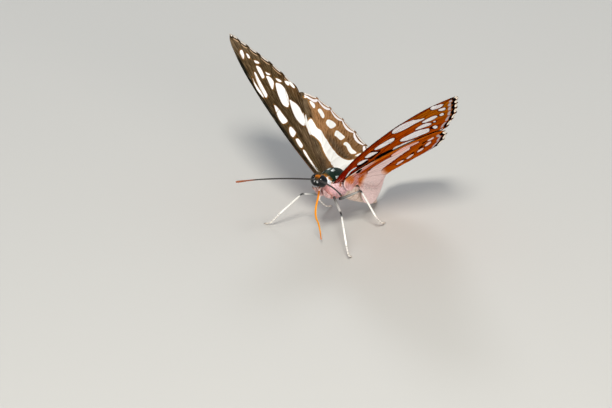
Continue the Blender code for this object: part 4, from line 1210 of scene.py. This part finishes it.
def makeEyes():
    made, tree, shader = newMaterial("eye facets", 0.1, 0.24)
    place = objectPlace(tree)
    mottled = step(tree, noise(tree, place, 900.0, 3.0), 0.35, 0.7)
    wire(tree, blend(tree, mottled, (3, 6, 10), (10, 16, 20)), shader.inputs["Base Color"])
    shader.inputs["Coat Weight"].default_value = 0.22
    shader.inputs["Coat Roughness"].default_value = 0.08
    relief(tree, shader, cells(tree, place, 9500.0, "Distance", 0.15), 0.00002, 0.2)
    # an ellipsoid cut flat where it meets the head: latitude about the sideways axis
    rings, sides, radii = eyeForm["rings"], eyeForm["sides"], eyeForm["radii"]
    lowest = math.asin((eyeForm["base"] - eyeForm["out"]) / radii[0])
    tilt = np.linspace(lowest, math.pi / 2 - 0.02, rings)[:, None]
    turn = np.arange(sides)[None] * 2 * math.pi / sides
    for side, mirror in mirrors.items():
        local = np.stack([mirror * (eyeForm["out"] + radii[0] * np.sin(tilt) + 0 * turn),
                          radii[1] * np.cos(tilt) * np.cos(turn), radii[2] * np.cos(tilt) * np.sin(turn)], -1)
        faces = [f[:, ::-mirror] for f in tubeFaces(rings, sides)]
        addPiece(f"eye_{side}_facets", headPoint(local).reshape(-1, 3), faces, made, "eye", [f"eye_{side}"])


palpForm = {
    "path": [(0.35, 0.8, -1.3), (0.4, 1.35, -1.0), (0.42, 1.7, -0.3), (0.4, 1.75, 0.35)],
    "radii": [0.16, 0.22, 0.17, 0.06],
    "fur": {"hairs": 420, "length": 0.26, "width": 0.05, "lean": 0.22, "seed": 22},
    "shades": ([0, 0.35, 0.55, 1], [(226, 196, 190), (222, 190, 184), (206, 170, 162), (120, 92, 84)]),
}


def makePalps():
    made = grainedMaterial("palp scales")
    t = np.linspace(0, 1, 40)
    radius = readAlong(t, np.array(palpForm["radii"])[:, None])[:, 0] * rounded(1 - t, 0.06, 0.05)
    colour = ramp(t, *palpForm["shades"])
    for side, mirror in mirrors.items():
        path = curveThrough(headPoint(np.array(palpForm["path"]) * (mirror, 1, 1)), len(t))
        addTube(f"palp_{side}_scaled", made, "palp", f"palp_{side}", tubePart(path, radius, 16, colour))
        furLimb(f"palp_{side}_hair", "palp", path, radius, palpForm["fur"], colour)


makeFeelers()
makeTongue()
makeEyes()
makePalps()
print("feelers, proboscis, eyes and palps made")


# Legs

legs = {
    # hip, knee, ankle, foot and toe
    "mid_right": [(-1.3, -1.7, 9.3), (-6.58, -0.88, 7.56), (-10.4, -3.23, 3.0), (-12.1, -3.4, 0.85),
                  (-13.4, -3.4, 0.2)],
    "mid_left": [(1.3, -1.7, 9.3), (5.31, -5.63, 8.72), (7.76, -7.61, 3.41), (7.8, -6.9, 1.2),
                 (7.6, -5.7, 0.2)],
    "hind_right": [(-1.3, 0.35, 8.1), (-4.3, 3.1, 9.6), (-6.5, 5.2, 3.5), (-6.5, 7.6, 1.1), (-6.4, 9.5, 0.2)],
    "hind_left": [(1.3, 0.35, 8.1), (4.3, 3.1, 9.6), (6.47, 5.21, 3.5), (6.3, 7.5, 1.2), (6.06, 9.3, 0.2)],
}
legForm = {
    "root": 0.9, "rootIn": 0.3, "femur": 0.25, "knee": 0.2, "ankle": 0.17, "toe": 0.13, "sole": 0.02,
    "femurShades": ([0, 0.2, 0.45, 0.85, 0.94, 1], [(26, 28, 30), (62, 64, 64), (142, 146, 144),
                                                    (212, 212, 208), (40, 42, 44), (20, 22, 24)]),
    # the hind femurs are darker: partly their own grey-brown, partly painted shade
    "hindGreyAndPaintedShade": 0.72,
    "tibiaShades": ([0, 0.03, 0.1, 0.9, 1], [(20, 22, 24), (40, 44, 46), (216, 218, 214), (250, 250, 246),
                                             (226, 224, 216)]),
    "footShades": ([0, 0.7, 1], [(246, 246, 242), (240, 238, 230), (206, 196, 182)]),
    # place along the last joint, to the side and up of each claw's points; its radii and colour
    "claw": [(-0.1, 0.0, 0.0), (0.22, 0.1, 0.06), (0.36, 0.14, -0.08)],
    "clawRadii": (0.06, 0.01), "clawColour": (60, 44, 34),
    # number, length and colour of the spines; their radii, and how far they lean to the limb's end
    "tibiaSpines": (26, 0.26, (226, 220, 206)), "footSpines": (34, 0.2, (190, 170, 140)),
    "spineRadii": [0.035, 0.022, 0.004], "spineLean": 0.9,
}
foreleg = {
    "path": [(0.75, -1.4, -3.1), (0.85, -2.7, -2.95), (0.95, -3.7, -2.6), (0.95, -4.4, -2.2)],
    "radii": [0.36, 0.4, 0.32, 0.12],
    "fur": {"hairs": 900, "length": 0.42, "width": 0.07, "lean": 0.2, "seed": 21},
    "colour": (238.0, 200.0, 198.0),
    "shades": ([0, 1], [(214, 190, 186), (226, 206, 198)]),
}


def spines(path, radius, count, length, colour, seed):
    # thin cones that leave the limb's side and lean towards its end
    rng = np.random.default_rng(seed)
    at = np.linspace(0.12, 0.97, count)
    places, along = readAlong(at, path), readAlong(at, unit(np.gradient(path, axis=0)))
    outs = unit(np.cross(along, unit(rng.normal(size=(count, 3)))))
    parts = []
    for place, way, out in zip(places, along, outs):
        tip = place + out * (radius + length * 0.6) + way * length * legForm["spineLean"]
        line = np.linspace(place + out * radius * 0.5, tip, 3)
        parts.append(tubePart(line, legForm["spineRadii"], 4, colour))
    return parts


def legParts(leg, joints, seed):
    # femur with a dark knee, tibia, jointed foot with two claws, and spines
    form = legForm
    inside = joints[0] + np.array([-form["rootIn"] * np.sign(joints[0, 0]), 0, form["root"]])
    femur = evenly(np.vstack([inside, joints[:2]]), 30)
    t = np.linspace(0, 1, len(femur))
    width = form["femur"] * (0.85 + 0.25 * np.sin(math.pi * t)) + (form["knee"] - form["femur"]) * t
    # hind femurs darker, partly their own grey-brown and partly painted shade
    shade = ramp(t, *form["femurShades"]) * (form["hindGreyAndPaintedShade"] if "hind" in leg else 1)
    parts = [tubePart(femur, width * rounded(1.03 - t, 0.06, 0.2), 14, shade)]
    tibia = evenly(joints[1:3], 40)
    t = np.linspace(0, 1, len(tibia))
    width = form["knee"] + (form["ankle"] - form["knee"]) * t - 0.03 * bump(t, 0.12, 0.08)
    parts.append(tubePart(tibia, width * rounded(t + 0.02, 0.05, 0.3), 14, ramp(t, *form["tibiaShades"])))
    foot = curveThrough(joints[2:], 61)
    t = np.linspace(0, 1, len(foot))
    jointed = np.abs(np.sin(math.pi * 5 * t ** 0.8)) ** 0.35
    width = (form["ankle"] + (form["toe"] - form["ankle"]) * t) * (0.82 + 0.18 * jointed)
    shade = ramp(t, *form["footShades"]) * (0.7 + 0.3 * jointed[:, None])
    parts.append(tubePart(foot, width * rounded(1.02 - t, 0.03, 0.3), 14, shade))
    ending = unit(foot[-1] - foot[-6])
    across = unit(np.cross(ending, (0, 0, 1.0)))
    for way in (-1, 1):
        claw = curveThrough([foot[-1] + ending * on + across * way * aside + (0, 0, rise)
                             for on, aside, rise in form["claw"]], 8)
        parts.append(tubePart(claw, np.linspace(*form["clawRadii"], 8), 8, form["clawColour"]))
    parts += spines(tibia, form["ankle"], *form["tibiaSpines"], seed)
    return parts + spines(foot, form["toe"], *form["footSpines"], seed + 9)


def makeLegs():
    made = grainedMaterial("leg scales")
    for number, (leg, joints) in enumerate(legs.items()):
        points, faces, fields = joinParts(legParts(leg, np.array(joints), number))
        points[:, 2] = np.maximum(points[:, 2], legForm["sole"])
        names = [f"{leg}_{part}" for part in ("femur", "tibia", "tarsus")]
        addPiece(f"{leg}_leg", points, faces, made, "leg", names, fields)
    t = np.linspace(0, 1, 40)
    width = readAlong(t, np.array(foreleg["radii"])[:, None])[:, 0] * rounded(1.01 - t, 0.08, 0.1)
    fur = np.tile(foreleg["colour"], (len(t), 1))
    for side, mirror in mirrors.items():
        path = curveThrough(bodyPoint(np.array(foreleg["path"]) * (mirror, 1, 1)), len(t))
        addTube(f"foreleg_{side}_furred", made, "leg", f"foreleg_{side}",
                tubePart(path, width, 16, ramp(t, *foreleg["shades"])))
        furLimb(f"foreleg_{side}_hair", "leg", path, width, foreleg["fur"], fur)


makeLegs()
print("legs made")


# Body: one skin for head, thorax and abdomen

skin = {
    "shrink": 0.16, "voxel": 0.11, "neck": 0.55, "neckEnds": ((0, -0.2, 0), (0, -3.4, -0.3)),
    "head": (1.02, 1.06, 1.2), "smooth": 6, "rings": 8, "ringDepth": 0.055, "floor": 0.05,
    # rings of thorax and abdomen and the sides of both; rings and sides of the head and of the neck
    "grid": (50, 97, 48), "headGrid": (24, 40), "neckGrid": (8, 20),
}


def ellipsoidGrid(radii, rings, sides):
    # latitude rings about the head's own upright axis
    tilt = (np.arange(rings) + 0.5)[:, None] * math.pi / rings - math.pi / 2
    turn = np.arange(sides)[None] * 2 * math.pi / sides
    return np.stack([radii[0] * np.cos(tilt) * np.cos(turn), radii[1] * np.cos(tilt) * np.sin(turn),
                     radii[2] * np.sin(tilt) + 0 * turn], -1)


def readMesh(items, key, count, kind):
    values = np.empty(len(items) * count, kind)
    items.foreach_get(key, values)
    return values


def makeSkinMesh():
    # closed forms that run into one another, fused on a fine lattice and smoothed
    thoraxCount, abdomenCount, sides = skin["grid"]
    thorax, abdomen = curveThrough(thoraxRings, thoraxCount), curveThrough(abdomenRings, abdomenCount)
    ringed = np.abs(np.sin(np.linspace(0, 1, len(abdomen)) * math.pi * skin["rings"])) ** 0.6
    abdomen[:, 2:] *= (1 - skin["ringDepth"] + skin["ringDepth"] * ringed)[:, None]
    parts = [(ringBody(rings, sides, skin["shrink"]).reshape(-1, 3),
              [f[:, ::-1] for f in tubeFaces(len(rings), sides)], {}) for rings in (thorax, abdomen)]
    head = headPoint(ellipsoidGrid(skin["head"], *skin["headGrid"])).reshape(-1, 3)
    inHead, inThorax = skin["neckEnds"]
    count, around = skin["neckGrid"]
    neck = evenly(np.array([headPoint(inHead), bodyPoint(inThorax)]), count)
    parts += [(head, tubeFaces(*skin["headGrid"]), {}),
              (tubeGrid(neck, np.full(count, skin["neck"]), around).reshape(-1, 3),
               tubeFaces(count, around), {})]
    points, faces, _ = joinParts(parts)
    points[:, 2] = np.maximum(points[:, 2], skin["floor"])
    mesh = bpy.data.meshes.new("forms")
    mesh.from_pydata(points.tolist(), [], [face.tolist() for group in faces for face in group])
    holder = addObject("forms", mesh)
    fuse = holder.modifiers.new("fuse", "REMESH")
    fuse.mode, fuse.voxel_size, fuse.adaptivity = "VOXEL", skin["voxel"], 0.0
    even = holder.modifiers.new("even", "SMOOTH")
    even.factor, even.iterations = 0.5, skin["smooth"]
    fused = holder.evaluated_get(bpy.context.evaluated_depsgraph_get()).to_mesh()
    places, normals = (readMesh(fused.vertices, key, 3, np.float32) for key in ("co", "normal"))
    corners = readMesh(fused.loops, "vertex_index", 1, np.int32)
    bpy.data.objects.remove(holder)
    return places.reshape(-1, 3).astype(float), corners.reshape(-1, 4), normals.reshape(-1, 3).astype(float)


def bodyLocal(points):
    # how far each point is to the side, to the rear and up, and its turn about the body's length
    local = (points - hinge) @ np.array([left, rear, up]).T
    around = np.arctan2(local[:, 2] + 0.5, np.abs(local[:, 0]))
    return local, around


def headLocal(points):
    return (points - headPoint((0, 0, 0))) @ np.array([left, headFront, headUp]).T


def fromPlace(local, place):
    # distance to a place, with both sides of the body as one
    return np.linalg.norm(np.hstack([np.abs(local[:, :1]), local[:, 1:]]) - place, axis=1)


bodyMarks = {
    # colour, then side, rear, up and size of each mark; both sides of the body carry it
    "frontSpots": ((228, 238, 240), (0.5, -2.35, 2.0), 0.34),
    "shoulderSpots": ((236, 240, 242), (1.78, -2.1, 0.93), 0.36),
    "neckSpots": ((232, 242, 255), (0.62, -4.05, 0.12), 0.4),
    "neckSides": ((232, 240, 252), (1.2, -3.8, -0.3), 0.54),
    "wingDotFront": ((14, 12, 12), (1.95, -2.4, -0.55), 0.22),
    "wingDotRear": ((14, 12, 12), (2.48, 0.2, -0.5), 0.26),
    "wingRoot": ((196, 96, 14), (2.25, -1.2, -0.15), 0.4),
    "breastStreak": ((168, 104, 66), (1.0, -1.6, -2.7), 0.22),
}


def bodyColour(points):
    # markings by place: dark glossy back, pinkish white flanks, orange on crown and collar
    local, around = bodyLocal(points)
    back = local[:, 1]
    seam = np.interp(back, [-4.2, -2.8, -1.2, 1.0, 3.0, 5.0], [0.1, 0.2, 0.55, 0.6, 0.5, 0.3])
    belly = soft(back, 3.6, 4.6)
    rings = np.abs(np.sin((back - 3.2) / 16.8 * math.pi * skin["rings"])) < 0.3
    head = headLocal(points)
    near = np.linalg.norm(head / (1.3, 1.5, 1.6), axis=1)
    crown = soft(np.abs(head[:, 0]), 0.95, 0.6) * bump(head[:, 1], -0.2, 0.42) * soft(head[:, 2], 0.5, 0.8)
    arch = back + 4.1 - 0.62 * np.clip(1.25 - around, 0, 2)
    collar = bump(arch, 0, 0.3) * soft(around, -0.05, 0.25) * soft(near, 0.95, 1.1)
    spots = [(paint, soft(fromPlace(local, place), size * 1.15, size * 0.8))
             for paint, place, size in bodyMarks.values()]
    return layered((240, 196, 202),
                   ((254, 218, 224), soft(around, -0.55, 0.1)),
                   ((226, 166, 158), soft(around, -0.7, -1.2)),
                   ((226, 168, 168), soft(back, -2.4, -3.6) * soft(around, 0.1, -0.3)),
                   ((5, 29, 19), soft(around - seam, -0.1, 0.12) * soft(back, 5.0, 4.2)),
                   ((104, 90, 66), bump(back, 3.2, 1.9) * soft(around, 0.7, 1.1) * 0.95),
                   ((74, 58, 42), belly * soft(around, -0.1, 0.25)),
                   ((222, 204, 192), belly * soft(around, 0.1, -0.3)),
                   ((176, 150, 122), belly * rings * 0.6),
                   ((12, 15, 18), soft(near, 1.05, 0.9)),
                   ((224, 128, 8), crown * 1.2),
                   ((248, 250, 252), soft(fromPlace(head, (0.42, 0.62, 1.0)), 0.3, 0.2)),
                   ((206, 120, 18), collar * 1.3),
                   *spots)


coat = {
    # tufts, length, width, lean off the skin, length where the coat is dark; the seed of the draw
    "thorax": {"count": 11800, "length": 0.6, "width": 0.08, "lean": 0.24, "dark": 0.62, "seed": 11},
    "abdomen": {"count": 9500, "length": 0.4, "width": 0.1, "lean": 0.14, "dark": 1.0, "seed": 12},
    "head": {"count": 4200, "length": 0.34, "width": 0.05, "lean": 0.6, "dark": 0.55, "seed": 13},
}
coatLie = {
    # where the thorax ends, the lowest skin with a coat, and how deep the roots lie
    "thoraxEnd": 4.3, "lowest": 0.3, "rootIn": 0.03,
    # droop on the flanks, forward and down on the face, and the spread of the directions
    "droop": 0.75, "faceForward": 0.5, "faceDown": 0.8, "spread": 0.16,
    # below this a colour is dark; the share of dark tufts lightened as painted glints, and what their colour
    # gains
    "darkBelow": 60, "glint": 0.25, "glintColour": (10, 30, 16),
}


def coatRegion(points):
    # head, thorax or abdomen at each place of the skin
    near = np.linalg.norm(headLocal(points) / (1.3, 1.35, 1.5), axis=1)
    behind = bodyLocal(points)[0][:, 1] >= coatLie["thoraxEnd"]
    return np.where(near < 1.0, "head", np.where(behind, "abdomen", "thorax"))


def makeCoat(name, points, faces, normals, material):
    form = coat[name]
    count = form["count"]
    rng = np.random.default_rng(form["seed"])
    corners = points[faces]
    area = np.linalg.norm(np.cross(corners[:, 2] - corners[:, 0], corners[:, 3] - corners[:, 1]), axis=1)
    area = area * (coatRegion(corners.mean(1)) == name)
    if name != "head":
        area = area * (corners[:, :, 2].mean(1) > coatLie["lowest"])
    chosen = rng.choice(len(faces), count, p=area / area.sum())
    a, b = rng.random((2, count, 1))
    mixed = [(1 - a) * (1 - b), a * (1 - b), a * b, (1 - a) * b]
    roots, outs = (sum(share * values[:, k] for k, share in enumerate(mixed))
                   for values in (corners[chosen], normals[faces[chosen]]))
    outs = unit(outs)
    local, around = bodyLocal(roots)
    # the coat lies to the rear and droops on the flanks; on the face it lies forward and down
    lie = rear - up * coatLie["droop"] * soft(around, 0.9, -0.2)[:, None]
    if name == "head":
        face = soft(headLocal(roots)[:, 1], 0.2, 0.8)[:, None]
        onFace = headFront * coatLie["faceForward"] - headUp * coatLie["faceDown"]
        lie = -headFront * (1 - face) + onFace * face
    lie = lie + rng.normal(0, coatLie["spread"], (count, 3))
    flat = unit(lie - outs * (lie * outs).sum(1, keepdims=True))
    colours = bodyColour(roots)
    dark = colours.max(1) < coatLie["darkBelow"]
    length = form["length"] * rng.uniform(0.7, 1.2, count) * np.where(dark, form["dark"], 1.0)
    leaning = form["lean"] * rng.uniform(0.6, 1.4, count)
    if name == "thorax":
        length = length * (1 + 0.5 * bump(local[:, 1], 3.4, 1.4) * (around > 0.6))
        length = length * (1 - 0.35 * soft(local[:, 1], -3.4, -4.2))
        leaning = leaning * np.where(dark, 0.6, 1.0)
    # painted glints: some dark tufts get a lighter, greener colour that stands in for highlights
    glint = (dark & (rng.random(count) < coatLie["glint"]))[:, None]
    colours = np.where(glint, colours * 2.0 + coatLie["glintColour"], colours)
    colours = colours * rng.uniform(0.72, 1.06, (count, 1))
    turned = np.arctan2(local[:, 2] + 0.5, local[:, 0]) / (2 * math.pi) + 0.5
    width = form["width"] * rng.uniform(0.7, 1.2, count)
    addTufts(f"{name}_coat", material, name, roots - outs * coatLie["rootIn"],
             unit(flat + outs * leaning[:, None]), outs, length, width,
             rng.uniform(-0.32, -0.1, count), colours,
             np.stack([(local[:, 1] + 8) / 30, turned], 1) * 0.95 + 0.02)


skinParts = makeSkinMesh()
addPiece("body_skin", *skinParts[:2], grainedMaterial("body skin"), "thorax", ["thorax", "abdomen", "head"],
         {"partColour": bodyColour(skinParts[0])})
furs = tuftMaterial("body hair", 0.45, 0.3, 0.3)
for name in coat:
    makeCoat(name, *skinParts, furs)
print("body skin and coat made")
